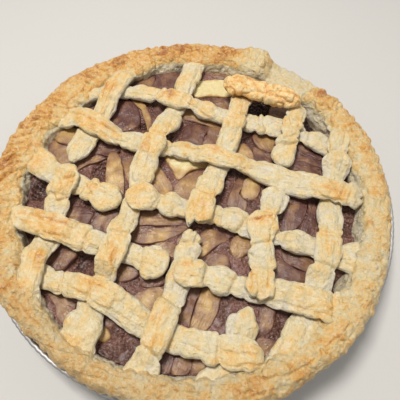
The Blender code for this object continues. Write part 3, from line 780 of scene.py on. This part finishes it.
def sauce_material():
    m = Nodes("spiced_sauce")
    cloud = m.noise(90, 4)
    grain = m.noise(900, 3)
    tone = m.math("ADD", m.attribute("tone"), m.span(cloud, 0.3, 0.7, -0.25, 0.25))
    tone = m.math("ADD", tone, m.span(grain, 0.3, 0.7, -0.08, 0.08), clamp=True)
    # Pale spice specks, which also stand in for small glints on the sauce: partly painted highlights.
    spice_glints = m.span(m.noise(1000, 3), 0.56, 0.66, 0.0, 0.30)
    colour = m.ramp(tone, [
        (0.0, srgb(58, 34, 28)),
        (0.4, srgb(110, 73, 61)),
        (0.75, srgb(140, 100, 90)),
        (1.0, srgb(156, 120, 100)),
    ])
    m.paint(m.blend(spice_glints, colour, srgb(196, 164, 148)), m.span(m.noise(300, 3), 0.3, 0.7, 0.14, 0.36))
    m.fix({"Specular IOR Level": 0.55, "Coat Weight": 0.08, "Coat Roughness": 0.2,
           "Subsurface Weight": 0.15, "Subsurface Radius": (1.0, 0.4, 0.25), "Subsurface Scale": 0.002})
    m.relief([
        (m.noise(1300, 3), 0.0010, 0.8),
        (m.voronoi(460), 0.0022, 0.7),
    ])
    return m.material


def apple_material():
    m = Nodes("cooked_apple")
    fibres = m.noise(1.0, 4, m.attribute("flow", "Vector"))
    soak = m.noise(110, 3, roughness=0.5)
    shade = m.math("ADD", m.attribute("tone"), m.span(soak, 0.3, 0.7, -0.20, 0.16))
    shade = m.math("ADD", shade, m.span(fibres, 0.3, 0.7, -0.05, 0.05), clamp=True)
    colour = m.ramp(shade, [
        (0.0, srgb(100, 66, 58)),
        (0.25, srgb(136, 100, 76)),
        (0.5, srgb(168, 131, 86)),
        (0.75, srgb(198, 164, 104)),
        (1.0, srgb(222, 206, 156)),
    ])
    m.paint(colour, m.span(m.noise(400, 3), 0.3, 0.7, 0.2, 0.46))
    m.fix({"Specular IOR Level": 0.5, "Subsurface Weight": 0.3,
           "Subsurface Radius": (1.0, 0.6, 0.3), "Subsurface Scale": 0.003})
    m.relief([
        (m.noise(1300, 3), 0.0004, 0.6),
        (m.noise(420, 3), 0.0008, 0.4),
        (fibres, 0.0010, 0.5),
    ])
    return m.material


def foil_material():
    m = Nodes("pressed_foil")
    m.paint(m.blend(m.noise(60, 3), srgb(176, 175, 174), srgb(204, 203, 202)),
            m.span(m.noise(500, 3), 0.3, 0.7, 0.54, 0.66))
    m.fix({"Metallic": 1.0})
    m.relief([(m.noise(700, 2), 0.0002, 0.35), (m.noise(140, 3), 0.0006, 0.3)])
    return m.material


# ---------------------------------------------------------------- pastry strips

def crossing_places(name, lines, evens):
    """(distance along the strip, "over" or "under") for each crossing of the strip."""
    places = []
    for top, below in CROSSINGS:
        if name in (top, below):
            other = lines[below if name == top else top]
            gaps = np.linalg.norm(lines[name][:, None] - other[None], axis=2).min(axis=1)
            places.append((evens[name][gaps.argmin()], "over" if name == top else "under"))
    return places


def mix_along(distance, places):
    """Shares of free, over and under at each distance along a strip; they add up to 1."""
    share = {side: np.zeros_like(distance) for side in ("free", "over", "under")}
    for place, side in places:
        share[side] += 1 - smoothstep(0, CROSSING_SLOPE, np.abs(distance - place) - CROSSING_FLAT)
    share["free"] = np.maximum(0.0, 1 - share["over"] - share["under"])
    total = share["free"] + share["over"] + share["under"]
    return {side: part / total for side, part in share.items()}


def end_scale(distance, length, ends):
    """Size of a strip's section at each distance, 1 away from its shaped ends."""
    scale = np.ones_like(distance)
    for away, end in ((distance, ends[0]), (length - distance, ends[1])):
        if end == "point":
            scale = np.minimum(scale, 0.1 + 0.9 * smoothstep(-2, 9, away))
        elif end == "round":
            scale = np.minimum(scale, 0.12 + 0.88 * np.sqrt(np.clip(away / 6, 0, 1)))
        elif end == "knob":
            swollen = 1 + 0.2 * (1 - smoothstep(10, 18, away))
            scale = np.minimum(scale, 1.0) * swollen * (0.12 + 0.88 * np.clip(away / 7.5, 0, 1) ** 0.42)
        elif end == "blunt":
            scale = np.minimum(scale, 0.5 + 0.5 * np.clip(away / 2.2, 0, 1) ** 0.5)
    return scale


def gold_at(points):
    """Browning from the named patches, at rows of points in mm."""
    total = 0.0
    for x, y, radius, strength in GOLD_SPOTS:
        away = np.hypot(points[..., 0] - x, points[..., 1] - y) / radius
        total = total + 0.62 * strength * np.exp(-away * away)
    return total


def strip_axis(name):
    """The axis that a strip's places are read on: y for an A strip, x for a B strip."""
    return 1 if "_a" in name else 0


def along_strip(name, line, pairs):
    """Values given at places on a strip, spread smoothly over its stations."""
    pairs = sorted(pairs)
    rough = np.interp(line[:, strip_axis(name)], [p[0] for p in pairs], [p[1] for p in pairs])
    kernel = np.hanning(9)
    padded = np.pad(rough, 4, mode="edge")
    return np.convolve(padded, kernel / kernel.sum(), mode="valid")


def strip_size(name, number, line, even, share):
    """Bottom, top and width of a strip at its stations, and how far each is into the rim (0 to 1)."""
    low, high = (sum(share[side] * STRIP_LEVELS[side][k] for side in share) for k in (0, 1))
    width = sum(share[side] * STRIP_WIDTH[side] for side in share)
    width = width * along_strip(name, line, WIDTHS[name]) * 0.96
    joined = np.zeros_like(even)
    for away, end in zip((even, even[-1] - even), STRIPS[name]["ends"]):
        if end == "rim":
            joined = np.maximum(joined, 1 - smoothstep(3, 14, away))
    flat = np.stack([even / 9, np.full_like(even, number * 9.7), np.zeros_like(even)], 1)
    width = width * (1 + 0.18 * joined**2) * (1 + 0.035 * noise(flat, 1.0, SEED + 3, 2))
    # A strip widens into the rim and dips a little below its shoulder.
    return low - 1.2 * joined, high - 0.7 * joined, width, joined


def strip_form(name, number, line, even, low, high, width, scale):
    """A strip's smooth form: points round each station, each point's place along, across and up in
    the dough, and its distance across in mm."""
    ahead = np.gradient(line, axis=0)
    ahead /= np.linalg.norm(ahead, axis=1, keepdims=True)
    across = np.stack([-ahead[:, 1], ahead[:, 0]], 1)
    turn = 2 * math.pi * (np.arange(STRIP_SIDES) + 0.5) / STRIP_SIDES
    side = np.sign(np.cos(turn)) * np.abs(np.cos(turn)) ** 0.92
    up = np.sign(np.sin(turn)) * np.abs(np.sin(turn)) ** 0.88
    half_w = (width / 2 * scale)[:, None]
    half_t = ((high - low) / 2 * (0.35 + 0.65 * np.minimum(scale, 1.0)))[:, None]
    # Each side of the strip wanders on its own.
    shape = (len(even), STRIP_SIDES)
    wander = np.stack([
        np.broadcast_to(even[:, None] / 8, shape),
        np.broadcast_to(np.sign(side) * 3.0 + number * 5.0, shape),
        np.zeros(shape),
    ], axis=2)
    spread = half_w * side * (1 + 0.06 * noise(wander, 1.0, SEED + 9, 2))
    x = line[:, :1] + across[:, :1] * spread
    y = line[:, 1:] + across[:, 1:] * spread
    for which, away, outward in ((0, even, -1), (1, even[-1] - even, 1)):
        if (name, which) in TORN:
            shares, runs = zip(*TORN[name, which])
            run = np.interp(side, shares, runs)[None] * (1 - smoothstep(0, 7, away))[:, None] * outward
            x = x + ahead[:, :1] * run
            y = y + ahead[:, 1:] * run
    mid = ((high + low) / 2)[:, None] - dome(x, y)
    flow = np.stack([
        np.broadcast_to(even[:, None] / 15, shape) + number * 3.1,
        spread / 2.6 + number * 7.7,
        half_t * up / 2.6,
    ], axis=2)
    return np.stack([x, y, mid + half_t * up], axis=2), flow, spread


def pinched(name, line, grid, spread):
    """Depth of the creases right across a strip, from 0 to about 1."""
    axis = strip_axis(name)
    crease = np.zeros_like(spread)
    for place in CREASES.get(name, []):
        here = line[:, axis][np.abs(line[:, axis] - place).argmin()]
        distance = line[:, axis:axis + 1] - here + 0.22 * spread * math.sin(place * 1.7)
        distance = distance + 1.1 * noise(grid, 6, SEED + 13)
        crease = np.maximum(crease, np.exp(-(distance / 1.15) ** 2) + 0.35 * np.exp(-(distance / 4) ** 2))
    return crease


def build_strip(name, number, lines, evens, finish):
    line, even = lines[name], evens[name]
    share = mix_along(even, crossing_places(name, lines, evens))
    low, high, width, joined = strip_size(name, number, line, even, share)
    scale = end_scale(even, even[-1], STRIPS[name]["ends"])
    grid, flow, spread = strip_form(name, number, line, even, low, high, width, scale)
    normal = tube_normals(grid)
    upward = np.clip(normal[..., 2], 0, 1)
    layers = noise(flow, 1.0, SEED + 11, 2)
    splits = ridges(flow * 0.8, 1.0, SEED + 23) * smoothstep(0.1, 0.6, noise(grid, 16, SEED + 29))
    lumps = noise(grid, 12, SEED + 5, 2)
    swells = puffs(flow * [1.6, 0.55, 0.55], 1.0, SEED + 6)
    grains = puffs(grid, 3.4, SEED + 8)
    pimples = noise(grid, 2.0, SEED + 7, 2)
    fold, fold_tone = (part * smoothstep(0.2, 0.7, upward)
                       for part in folds_at(grid[..., 0], grid[..., 1], FOLDS))
    crease = pinched(name, line, grid, spread)
    push = (0.5 * lumps + 1.2 * swells + 0.22 * grains + 0.24 * layers + 0.08 * pimples - 0.45
            - 0.4 * splits - 1.25 * crease + 1.25 * fold)
    push *= 0.35 + 0.65 * np.minimum(scale, 1)[:, None]
    grid = grid + normal * push[..., None]
    brown = (0.34 * upward + 0.15 * noise(grid, 8, SEED + 31, 2) + 0.07 * layers * upward
             + 0.12 * share["over"][:, None] * upward + 0.08 * splits + 0.04 * crease
             + 0.14 * (swells - 0.45) * upward + 0.08 * noise(grid, 3.2, SEED + 33)
             + 0.55 * gold_at(grid) * (0.25 + 0.75 * upward) + 0.55 * fold_tone
             - 0.08 * share["under"][:, None] + 0.12 * joined[:, None] * upward)
    # The strips baked palest towards the right.
    brown -= 0.10 * smoothstep(-20, 60, grid[..., 0] - 0.3 * grid[..., 1])
    grain_at = flow * [2.5, 2.0, 2.0]
    points, faces = capped(grid)
    values = {
        "brown": np.concatenate([brown.ravel(), [0.15, 0.15]]),
        "painted_shade": np.zeros(len(points)),
        "flow": np.vstack([grain_at.reshape(-1, 3), grain_at[0, 0], grain_at[-1, 0]]),
    }
    mesh_piece("pastry_" + name, points, faces, values, finish, [name])


# ---------------------------------------------------------------- rolled rim and bottom crust

def tin_inside(height):
    """Radius of the tin's inner face at a height."""
    return TIN_BOTTOM_R - TIN_WALL + (height - TIN_WALL) / TIN_FLANGE_Z * (TIN_WALL_R - TIN_BOTTOM_R)


def facing(angle, degrees, low, high):
    """1 on the side of the rim that faces that angle, 0 on the far side; low and high are cosines."""
    return smoothstep(low, high, np.cos(angle - math.radians(degrees)))[:, None]


def crust_section(angle, inner, outer, whole):
    """Radius and height of the crust's section at each angle, from under the floor out over the
    roll and back to the floor's top, and the columns where the roll starts and ends."""
    tall = RIM_HEIGHT * (0.36 + 0.64 * whole) + 2.0 * bump(np.degrees(angle), KNOB_DEG, 9.0)
    middle, half = (inner + outer) / 2, (outer - inner) / 2
    outline, _ = resample(curve_through(ROLL_OUTLINE), 3.0 / ROLL_STEPS)
    shelf_r = tin_inside(CRUST_SHELF) - WALL_GAP
    edge = np.minimum(outer - 1.4, TIN_FLANGE_R - TIN_WALL - 0.7)
    columns = [(tin_inside(CRUST_UNDER) - WALL_GAP, CRUST_UNDER), (shelf_r, CRUST_SHELF)]
    columns += [(shelf_r + part * (edge - shelf_r), CRUST_SHELF) for part in (0.5, 1.0)]
    first_roll = len(columns)
    columns += [(middle + half * across, RIM_BASE_Z + tall * up) for across, up in outline]
    last_roll = len(columns)
    foot_r = inner - WALL_LEAN
    top_z = RIM_BASE_Z + tall * outline[-1, 1]
    columns += [(inner - WALL_LEAN * part, top_z + part * (WALL_CUT_Z - top_z))
                for part in np.linspace(0.1, 1.0, WALL_STEPS)]
    columns += [(foot_r + part * (WALL_FOOT[0] - foot_r), WALL_CUT_Z + part * (WALL_FOOT[1] - WALL_CUT_Z))
                for part in (0.35, 0.7, 1.0)]
    columns.append((FLOOR_EDGE_R, CRUST_UNDER + CRUST_FLOOR))
    radius, height = (np.stack([column[k] + 0 * angle for column in columns], 1) for k in (0, 1))
    return radius, height, first_roll, last_roll


def crust_web(angle, inner, lines, deep, last_roll):
    """How far, in mm, the roll's inner side is drawn inward over the strips' ends. On the far left
    it runs into the strips like a web; elsewhere it only laps over them."""
    pull = np.zeros_like(angle)
    for name, line in lines.items():
        for end, point in zip(STRIPS[name]["ends"], (line[0], line[-1])):
            if end == "rim":
                turn = (angle - math.atan2(point[1], point[0]) + math.pi) % (2 * math.pi) - math.pi
                pull += np.exp(-(turn * inner / 9.0) ** 2)
    drawn = smoothstep(0.45, 0.95, deep)
    drawn[last_roll:last_roll + WALL_STEPS] = np.linspace(1, 0, WALL_STEPS)
    drawn[last_roll + WALL_STEPS:] = 0
    web = 1.2 + 3.0 * facing(angle, 165, 0.1, 0.6)
    return web * np.minimum(pull, 1.1)[:, None] * drawn[None]


def crust_form(angle, lines, whole):
    """The crust's smooth form: its points, each column's place over the roll (0 at its outer foot,
    1 at its inner foot) and each column's share of the relief."""
    deg = np.degrees(angle)
    # The knob bulges inward too. The roll covers the tin's lip at the left and in the gap, and
    # leaves it bare at the near left.
    inner = rim_inner(angle) - 3.2 * bump(deg, KNOB_DEG, 10.0)
    outer = (rim_outer(angle) - 1.6 * bump(deg, -110, 20) + 0.8 * (1 - whole)
             + 1.2 * bump(deg, -142, 20))
    radius, height, first_roll, last_roll = crust_section(angle, inner, outer, whole)
    columns = radius.shape[1]
    deep = np.clip((np.arange(columns) - first_roll) / (last_roll - first_roll), 0, 1)
    web = crust_web(angle, inner, lines, deep, last_roll)
    grid = turned(radius, height, angle)
    grid[..., 0] -= np.cos(angle)[:, None] * web
    grid[..., 1] -= np.sin(angle)[:, None] * web
    shown = np.zeros(columns)
    shown[first_roll:last_roll + WALL_STEPS - 1] = 1.0
    shown[first_roll - 1] = 0.4
    return grid, deep, shown


def crust_wrinkles(angle, grid, deep, rope, lower):
    """Slanted crimps, short wrinkles across the roll and long ones at the lower right, 0 to 1."""
    run = (angle * 108)[:, None] + 0 * deep[None]
    section = deep[None] * 24 + 0 * run
    slanted = run + (0.6 * rope + 0.15) * section + 2.6 * noise(grid, 13, SEED + 51, 2)
    lobes = np.abs(np.sin(slanted / 6.4 * math.pi)) ** 0.5
    window = (smoothstep(0.0, 0.10, deep) * (1 - smoothstep(0.60, 0.90, deep)))[None]
    crimps = (1 - lobes) * window * smoothstep(-0.7, 0.3, noise(grid, 20, SEED + 52))
    roll = (smoothstep(0.0, 0.12, deep) * (1 - smoothstep(0.85, 1.0, deep)))[None]
    short_at = np.stack([slanted / 4.4, section / 19, 0 * run], axis=2)
    short = np.clip(1 - np.abs(value_noise(short_at, SEED + 55)) * 5, 0, 1)
    short = short * roll * smoothstep(-0.3, 0.5, noise(grid, 13, SEED + 56)) * (1 - 0.7 * lower)
    long_at = np.stack([run / 16, section / 3.4 + run / 30, 0 * run], axis=2)
    long = np.clip(1 - np.abs(value_noise(long_at, SEED + 65)) * 4, 0, 1) * roll * lower
    return crimps, short, long


def build_crust(lines, finish):
    angle = np.linspace(-math.pi, math.pi, RIM_SEGMENTS, endpoint=False)
    whole = rim_presence(angle)
    # Rows run round the rim and close; columns run over the section and stay open.
    grid, deep, shown = crust_form(angle, lines, whole)
    down = np.roll(grid, -1, axis=0) - np.roll(grid, 1, axis=0)
    normal = unit(np.cross(down, np.gradient(grid, axis=1)))
    upward = np.clip(normal[..., 2], 0, 1)
    # The rim is crimped like a rope at the far left and wrinkled lengthwise at the lower right.
    rope = facing(angle, 140, -0.35, 0.35)
    right = facing(angle, 15, 0.1, 0.8)
    lower = facing(angle, -48, 0.2, 0.8)
    knob = bump(np.degrees(angle), KNOB_DEG - 1, 10.0)[:, None]
    rough = whole[:, None] * (1 - 0.75 * knob)
    crimps, wrinkles, long_wrinkles = crust_wrinkles(angle, grid, deep, rope, lower)
    lumps = noise(grid, 14, SEED + 53, 2)
    swells = puffs(grid, 5.5, SEED + 57)
    grains = puffs(grid, 2.8, SEED + 54)
    knots = noise(grid, 4, SEED + 58, 3)
    cracks = ridges(grid, 6, SEED + 59) * smoothstep(0.0, 0.6, noise(grid, 12, SEED + 61))
    fold, fold_tone = (part * smoothstep(0.1, 0.5, upward)
                       for part in folds_at(grid[..., 0], grid[..., 1], RIM_CRACKS))
    push = (0.75 * lumps + 1.15 * swells - 0.75
            + rough * (0.35 * knots + (0.6 - 0.2 * right) * grains - 0.6 * cracks)
            + fold + 0.8 * knob + rough * (rope * (0.45 - 2.3 * crimps) - (1 - rope) * 0.6 * crimps)
            - rough * (0.4 * rope + 0.7 * right + 0.25) * wrinkles - 0.3 * long_wrinkles)
    grid = grid + normal * (push * shown[None])[..., None]
    inside = smoothstep(0.9, 1.0, deep)[None]
    flakes = np.maximum(0, noise(grid, 3.6, SEED + 66, 2)) ** 1.3
    brown = (0.55 + 0.08 * rope - 0.05 * right - 0.10 * lower + 0.09 * noise(grid, 15, SEED + 63, 2)
             + 0.10 * noise(grid, 4.5, SEED + 64, 2) + 0.05 * knots + 0.10 * (swells - 0.45)
             + 0.18 * flakes * (1 - 0.5 * rope) + 0.16 * rope * crimps + 0.14 * wrinkles
             + 0.05 * long_wrinkles + 0.08 * cracks)
    # The far side baked a little browner, and the roll is palest along its inner shoulder.
    brown = brown + 0.08 * facing(angle, 105, 0.2, 0.9)
    brown = brown - 0.16 * smoothstep(0.55, 0.85, deep)[None] * (1 - 0.5 * rope)
    brown = brown + 0.55 * gold_at(grid) + 0.4 * fold_tone
    brown = brown * (1 - inside) + 0.10 * inside
    brown = brown * (0.35 + 0.65 * whole[:, None])
    brown = brown * (1 - 0.75 * knob) + 0.12 * knob
    # Painted shade: the crust at the near left is painted a darker, greyer brown where it gets less light.
    painted_shade = (0.02 + 0.20 * facing(angle, -112, 0.1, 0.9)) * (1 - inside) * (1 - 0.9 * rope)
    points, faces = round_piece(grid, CRUST_UNDER, CRUST_UNDER + CRUST_FLOOR)
    values = {
        "brown": np.concatenate([brown.ravel(), [0.2, 0.2]]),
        "painted_shade": np.concatenate([painted_shade.ravel(), [0, 0]]),
    }
    mesh_piece("rolled_crust", points, faces, values, finish, ["bottom_crust"])


def build_loose_piece(finish):
    start, end = np.array(LOOSE_PIECE_FROM), np.array(LOOSE_PIECE_TO)
    t = np.linspace(0, 1, LOOSE_ROWS)[:, None]
    centre = start + (end - start) * t
    close = np.sqrt(np.clip(1 - (2 * t - 1) ** 6, 0.02, 1)) * (1 + 0.09 * np.sin(9.5 * t + 0.6))
    turn = 2 * math.pi * np.arange(LOOSE_SIDES)[None] / LOOSE_SIDES
    grid = np.stack([
        np.broadcast_to(centre[:, :1], (LOOSE_ROWS, LOOSE_SIDES)),
        centre[:, 1:2] + LOOSE_PIECE_R[0] * close * np.cos(turn),
        centre[:, 2:] + LOOSE_PIECE_R[1] * close * np.sin(turn),
    ], axis=2)
    normal = tube_normals(grid)
    knots = noise(grid, 4.5, SEED + 71, 2)
    crumbs = puffs(grid, 4.6, SEED + 72)
    cracks = ridges(grid, 6, SEED + 73)
    push = 0.7 * noise(grid, 11, SEED + 75) + 0.4 * knots + 1.7 * crumbs - 0.6 - 0.6 * cracks
    grid = grid + normal * push[..., None]
    brown = 0.46 + 0.14 * knots + 0.16 * cracks + 0.12 * noise(grid, 9, SEED + 77)
    brown += 0.20 * (0.5 - crumbs) + 0.10 * np.clip(normal[..., 1], 0, 1)
    points, faces = capped(grid)
    values = {
        "brown": np.concatenate([brown.ravel(), [0.4, 0.4]]),
        "painted_shade": np.zeros(len(points)),
    }
    mesh_piece("loose_rim", points, faces, values, finish, ["loose_rim_piece"])


# ---------------------------------------------------------------- filling

def sauce_level(points):
    """Height of the sauce's surface at rows of (x, y, 0)."""
    level = SAUCE_Z + 0.9 * noise(points, 9, SEED + 81, 2) + 0.3 * noise(points, 3, SEED + 83, 2)
    for x, y, radius, depth in HOLLOWS:
        away = np.hypot(points[..., 0] - x, points[..., 1] - y) / radius
        level = level - depth * np.exp(-away**4)
    return level - dome(points[..., 0], points[..., 1])


def build_sauce(finish):
    """The core under the slices: smaller than the CAD filling, with an uneven wet top."""
    angle = np.linspace(0, 2 * math.pi, SAUCE_SEGMENTS, endpoint=False)[None]
    share = (np.arange(SAUCE_RINGS, 0, -1) / SAUCE_RINGS)[:, None] ** 0.85
    radius = (rim_inner(angle) - WALL_LEAN + 0.6) * share
    x, y = radius * np.cos(angle), radius * np.sin(angle)
    top = np.stack([x, y, sauce_level(np.stack([x, y, np.zeros_like(x)], 2))], 2)
    foot_r, foot_z = SAUCE_FOOT
    foot = np.stack([np.cos(angle) * foot_r, np.sin(angle) * foot_r, np.full_like(angle, foot_z)], 2)
    points, faces = capped(np.concatenate([foot, top], axis=0))
    tone = 0.5 + 0.3 * noise(points, 10, SEED + 85, 2)
    # Painted shade: the sauce is painted darker the deeper it lies below the usual level, as in the
    # hollows.
    tone -= 0.08 * np.clip(33.0 - points[:, 2] - dome(points[:, 0], points[:, 1]), 0, 6)
    mesh_piece("spiced_sauce", points, faces, {"tone": tone}, finish, ["apple_filling"])


def apple_slice(tone, lift, corners, number):
    """A cooked slab of apple with soft edges: (points, faces, tone, flow)."""
    corners = np.array(corners, float)
    closed = np.vstack([corners[-1:], corners, corners[:2]])
    rim = resample(curve_through(closed)[16:-16], SLICE_STEP)[0][:-1]
    middle = corners.mean(axis=0)
    # Three rings make the side, and the rest close in over the top.
    inset = np.concatenate([np.zeros(3), np.linspace(0, 1, SLICE_RINGS + 1)[:-1] ** 1.25])
    spokes = middle - rim
    reach = np.linalg.norm(spokes, axis=1).mean()
    plan = rim[None] + spokes[None] * inset[:, None, None]
    edge = np.clip(inset * reach / 1.1, 0, 1)
    rounded = 0.4 * (1 - np.sqrt(1 - (1 - edge) ** 2))
    top = SLICE_Z + lift - dome(plan[..., 0], plan[..., 1])
    turn = number * 2.4
    off = plan - middle
    tilt = 0.055 * (off[..., 0] * math.cos(turn) + off[..., 1] * math.sin(turn))
    sag = 0.5 * (np.linalg.norm(off, axis=2) / reach) ** 2
    height = top + tilt - sag - rounded[:, None] * 3.2
    height[0], height[1], height[2] = SLICE_FOOT_Z, top[0] - 5.0, top[0] - 2.6 + tilt[0]
    grid = np.dstack([plan, height])
    seed = SEED + 200 + 7 * number
    grid[..., 2] += 0.5 * noise(grid, 7, seed, 2) + 0.14 * noise(grid, 2.2, seed + 1, 2)
    grid[..., :2] += 0.3 * np.dstack([noise(grid, 3.5, seed + 2), noise(grid, 3.5, seed + 3)])
    points, faces = capped(grid)
    if signed_area(rim) < 0:
        faces = [face[::-1] for face in faces]
    # The fibres run along the slice.
    spread = rim - middle
    axis = np.linalg.eigh(spread.T @ spread)[1][:, 1]
    local = points[:, :2] - middle
    flow = np.stack([local @ axis / 7, local @ np.array([-axis[1], axis[0]]) / 1.3, points[:, 2] / 1.3], 1)
    border = np.concatenate([np.repeat(np.exp(-inset * reach / 2.4), len(rim)), [1, 0]])
    shade = tone - 0.04 - 0.36 * border * (0.3 + tone) + 0.16 * noise(points, 5, seed + 9, 2)
    return points, faces, shade, flow + number


def signed_area(outline):
    """Positive for an outline that runs anticlockwise."""
    x, y = outline[:, 0], outline[:, 1]
    return 0.5 * (x @ np.roll(y, -1) - y @ np.roll(x, -1))


def build_slices(finish):
    all_points, all_faces, all_tone, all_flow = [], [], [], []
    start = 0
    for number, (tone, lift, corners) in enumerate(SLICES):
        points, faces, shade, flow = apple_slice(tone, lift, corners, number)
        # A slice never reaches into the crust's wall.
        radius = np.hypot(points[:, 0], points[:, 1])
        limit = rim_inner(np.arctan2(points[:, 1], points[:, 0])) - WALL_LEAN
        points[:, :2] *= np.minimum(1, limit / radius)[:, None]
        all_points.append(points)
        all_faces += [tuple(i + start for i in face) for face in faces]
        all_tone.append(shade)
        all_flow.append(flow)
        start += len(points)
    values = {"tone": np.concatenate(all_tone), "flow": np.vstack(all_flow)}
    mesh_piece("apple_slices", np.vstack(all_points), all_faces, values, finish,
               ["apple_filling"])


# ---------------------------------------------------------------- pie tin

def build_tin(finish):
    angle = np.linspace(0, 2 * math.pi, TIN_SEGMENTS, endpoint=False)
    lip_r, lip_z = TIN_FLANGE_R + LIP_R, TIN_FLANGE_Z + LIP_R
    lip = [(lip_r + LIP_R * math.cos(a), lip_z + LIP_R * math.sin(a))
           for a in np.radians(np.arange(-90, 181, 18))]
    outer = [(TIN_BOTTOM_R + (TIN_WALL_R - TIN_BOTTOM_R) * t, TIN_FLANGE_Z * t)
             for t in np.linspace(0, 1, 24)]
    outer += [(TIN_WALL_R + (TIN_FLANGE_R - TIN_WALL_R) * t, TIN_FLANGE_Z) for t in (0.33, 0.66)]
    inner = [(r - TIN_WALL, z + TIN_WALL) for r, z in [(TIN_FLANGE_R, TIN_FLANGE_Z), *reversed(outer)]]
    profile = np.array(outer + lip + inner)
    radius, height = (np.tile(profile[:, k], (TIN_SEGMENTS, 1)) for k in (0, 1))
    # Pressed pleats stiffen the wall, and finer ones the rolled lip.
    on_wall = bump(profile[:, 1], TIN_FLANGE_Z * 0.55, TIN_FLANGE_Z * 0.5) * (profile[:, 0] < TIN_WALL_R)
    on_lip = profile[:, 0] > TIN_FLANGE_R + 0.2
    radius += 0.28 * np.sin(120 * angle)[:, None] * on_wall[None]
    radius += 0.12 * np.sign(np.sin(180 * angle))[:, None] * on_lip[None]
    points, faces = round_piece(turned(radius, height, angle), 0, TIN_WALL)
    mesh_piece("foil_tin", points, faces, {}, finish, ["pie_tin"])


# ---------------------------------------------------------------- stage

def build_stage():
    material = bpy.data.materials.new("pale_floor")
    material.use_nodes = True
    shader = material.node_tree.nodes["Principled BSDF"]
    shader.inputs["Base Color"].default_value = (0.62, 0.60, 0.57, 1)
    shader.inputs["Roughness"].default_value = 0.9
    bpy.ops.mesh.primitive_plane_add(size=4.0, location=(0, 0, -0.0004))
    floor = bpy.context.object
    floor.name = "floor"
    floor.data.materials.append(material)
    world = bpy.data.worlds.new("studio")
    bpy.context.scene.world = world
    world.use_nodes = True
    sky = world.node_tree.nodes["Background"]
    sky.inputs["Color"].default_value = (1.0, 0.98, 0.95, 1)
    sky.inputs["Strength"].default_value = 0.32
    add_light("key", (-0.16, 0.02, 0.80), 0.18, 5.9, (1.0, 0.98, 0.95))
    add_light("fill", (0.5, 0.3, 0.6), 0.6, 0.8, (1.0, 0.98, 0.96))


def add_light(name, place, size, power, colour):
    data = bpy.data.lights.new(name, "AREA")
    data.size = size
    data.energy = power
    data.color = colour
    light = bpy.data.objects.new(name, data)
    light.location = place
    light.rotation_euler = (Vector((0, 0, 0.03)) - Vector(place)).to_track_quat("-Z", "Y").to_euler()
    bpy.context.scene.collection.objects.link(light)


def build_camera():
    """The photograph's view: 62 degrees down, close over the pie."""
    azimuth, elevation, roll = (math.radians(a) for a in CAMERA_ANGLES)
    back = Vector((math.sin(azimuth) * math.cos(elevation),
                   -math.cos(azimuth) * math.cos(elevation), math.sin(elevation)))
    right = Vector((math.cos(azimuth), math.sin(azimuth), 0))
    up = back.cross(right)
    turned_right = right * math.cos(roll) + up * math.sin(roll)
    turned_up = up * math.cos(roll) - right * math.sin(roll)
    matrix = Matrix((turned_right, turned_up, back)).transposed().to_4x4()
    matrix.translation = (Vector(LOOK_AT) + back * CAMERA_DISTANCE) * MM
    data = bpy.data.cameras.new("camera")
    data.sensor_width = 36
    data.lens = 36
    data.clip_start = 0.01
    camera = bpy.data.objects.new("camera", data)
    camera.matrix_world = matrix
    bpy.context.scene.collection.objects.link(camera)
    bpy.context.scene.camera = camera


def build():
    build_camera()
    build_stage()
    bpy.context.scene.view_settings.view_transform = "Standard"
    strip_finish = pastry_material("baked_strip", stretched=True, flaky=0.9)
    crust_finish = pastry_material("baked_crust", stretched=False, flaky=1.2)
    lines, evens = {}, {}
    for name, strip in STRIPS.items():
        lines[name], evens[name] = resample(strip_line(strip), STRIP_STEP)
    for number, name in enumerate(STRIPS):
        build_strip(name, number, lines, evens, strip_finish)
    build_crust(lines, crust_finish)
    # The loose piece gets the brighter pastry colours: partly more golden dough, partly painted light.
    build_loose_piece(pastry_material("baked_loose_rim_lit", stretched=False, flaky=1.2, stops=LOOSE_LIT_STOPS))
    build_sauce(sauce_material())
    build_slices(apple_material())
    build_tin(foil_material())


build()
bpy.context.view_layer.update()
